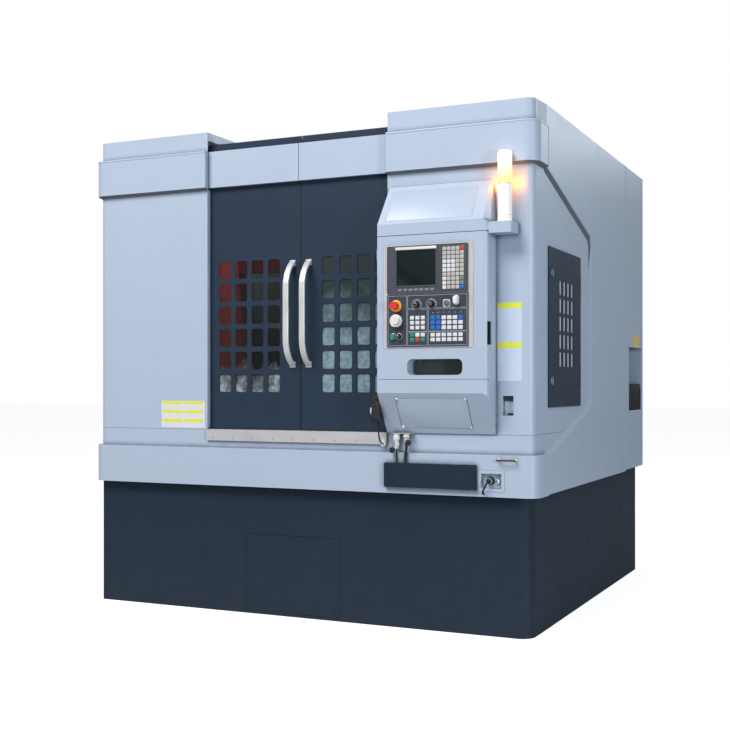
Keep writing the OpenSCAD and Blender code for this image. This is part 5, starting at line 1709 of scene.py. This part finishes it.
earth_green = plastic("earth_green", (0.050, 0.26, 0.060), 0.35)
build_switch_gear()


# ---- backs of the controls, inside the swinging console front ---------------

def build_panel_backs():
    """Casing of the control unit with its plugs, and collars of the contact blocks."""
    piece = Piece("panel_backs", "console_door", "black_plastic", black_plastic, anodised, earth_green,
                  orange_plastic, white_plastic)
    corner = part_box("console_door")[0]
    y = corner.y + 0.0083
    x, z = corner.x + 0.060, 1.690
    piece.block((x, y, z), (x + 0.380, y + 0.058, z + 0.236), 0.004, 1)
    piece.block((x + 0.020, y + 0.057, z + 0.020), (x + 0.230, y + 0.064, z + 0.216), 0.003, 0)
    for k in range(12):
        slot_z = z + 0.040 + 0.013 * k
        piece.block((x + 0.040, y + 0.0635, slot_z), (x + 0.210, y + 0.0655, slot_z + 0.005), 0.0008, 1)
    for k in range(5):
        plug_z = z + 0.024 + 0.040 * k
        piece.block((x + 0.262, y + 0.056, plug_z), (x + 0.312, y + 0.072, plug_z + 0.018), 0.001, 0)
        piece.block((x + 0.268, y + 0.070, plug_z + 0.003), (x + 0.306, y + 0.078, plug_z + 0.015), 0.001,
                    2 if k % 2 else 4)
    ring = rounded(-0.0105, -0.0105, 0.0105, 0.0105, 0.0104, 8)
    collar = rounded(-0.0160, -0.0190, 0.0160, 0.0190, 0.003, 8)
    names = ("estop_button", "handwheel", "cycle_button", "mode_selector", "feed_dial", "speed_dial",
             "key_switch")
    edge_x = corner.x + 0.046
    for k, name in enumerate(names):
        spot = centre_of(name)
        if spot.x - edge_x > 0.022:
            piece.sheet(collar, 0.030, 0.001, 3 if k == 0 else 0, rear(spot.x, y, spot.z), hole=ring)
    return piece.done()


build_panel_backs()


# ---- floor and light --------------------------------------------------------

def seen_plainly(tree):
    """1 for what the camera sees straight or through a clear surface, 0 for light on the machine."""
    rays = node_of(tree, "ShaderNodeLightPath").outputs
    return math_node(tree, "MAXIMUM", rays["Is Camera Ray"], rays["Is Transmission Ray"])


def white_ground(name):
    """Pale matt ground that the camera sees as white, straight or through glass, with its shadow."""
    made, tree = start_finish(name, Roughness=0.9)
    matt = tree.nodes["Principled BSDF"]
    grain = ranged(tree, noise(tree, surface_place(tree), 30.0, 4.0), 0.98, 1.02)
    feed(matt.inputs["Base Color"], toned(tree, (0.42, 0.42, 0.42), grain))
    glow = node_of(tree, "ShaderNodeEmission", (("Strength", times(tree, seen_plainly(tree), 0.84)),))
    both = node_of(tree, "ShaderNodeAddShader", ((0, matt.outputs[0]), (1, glow.outputs[0])))
    feed(tree.nodes["Material Output"].inputs["Surface"], both.outputs[0])
    return made


def lay_floor(half):
    """Square floor under the machine."""
    data = bpy.data.meshes.new("floor")
    corners = [(-half, -half, 0), (half, -half, 0), (half, half, 0), (-half, half, 0)]
    data.from_pydata(corners, [], [(0, 1, 2, 3)])
    data.materials.append(white_ground("white_ground"))
    floor = bpy.data.objects.new("floor", data)
    scene.collection.objects.link(floor)


def softbox(name, spot, target, width, height, power, tint=(1, 1, 1)):
    """Rectangular lamp that faces a target."""
    data = bpy.data.lights.new(name, "AREA")
    data.shape = "RECTANGLE"
    data.size = width
    data.size_y = height
    data.energy = power
    data.color = tint
    lamp = bpy.data.objects.new(name, data)
    lamp.location = spot
    lamp.rotation_euler = (Vector(target) - Vector(spot)).to_track_quat("-Z", "Y").to_euler()
    lamp.visible_camera = False
    scene.collection.objects.link(lamp)


def glow_light(name, spot, power, tint, radius):
    """Small round light close to a glowing surface."""
    data = bpy.data.lights.new(name, "POINT")
    data.energy = power
    data.color = tint
    data.shadow_soft_size = radius
    lamp = bpy.data.objects.new(name, data)
    lamp.location = spot
    lamp.visible_camera = False
    lamp.visible_glossy = False
    scene.collection.objects.link(lamp)


def studio_world(level, tint):
    """Even tinted light all round, white to the camera."""
    world = bpy.data.worlds.new("studio")
    scene.world = world
    world.use_nodes = True
    tree = world.node_tree
    back = tree.nodes["Background"]
    seen = seen_plainly(tree)
    sky = node_of(tree, "ShaderNodeRGB")
    sky.outputs[0].default_value = (*tint, 1)
    feed(back.inputs["Color"], over(tree, sky.outputs[0], (1.0, 1.0, 1.0), seen))
    feed(back.inputs["Strength"], ranged(tree, seen, level, 1.0))


lay_floor(half=60)
studio_world(level=0.29, tint=(0.86, 0.94, 1.0))
softbox("key_light", (-2.1, -7.6, 8.8), (0, -1, 1.4), 6, 4, 965, (1.0, 0.965, 0.955))
softbox("fill_light", (7.8, -5.6, 1.9), (1.0, -0.4, 1.0), 1.2, 3, 235, (0.86, 0.94, 1.0))
softbox("rear_light", (3.2, 8, 6), (0, 1, 1.3), 5, 4, 170, (0.92, 0.96, 1.0))
softbox("work_light", (0.05, FACE_Y + 0.30, 2.30), (-0.56, FACE_Y + 0.30, 1.55), 0.2, 0.1, 5.0)
lamp_spot = centre_of("lamp_lens")
for side_name, side in (("left", -1), ("right", 1)):
    glow_light("lamp_glow_" + side_name,
               (lamp_spot.x + side * 0.048, lamp_spot.y + 0.028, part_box("lamp_lens")[0].z + 0.012),
               power=0.24, tint=(1.0, 0.30, 0.015), radius=0.012)
scene.view_settings.view_transform = "Standard"
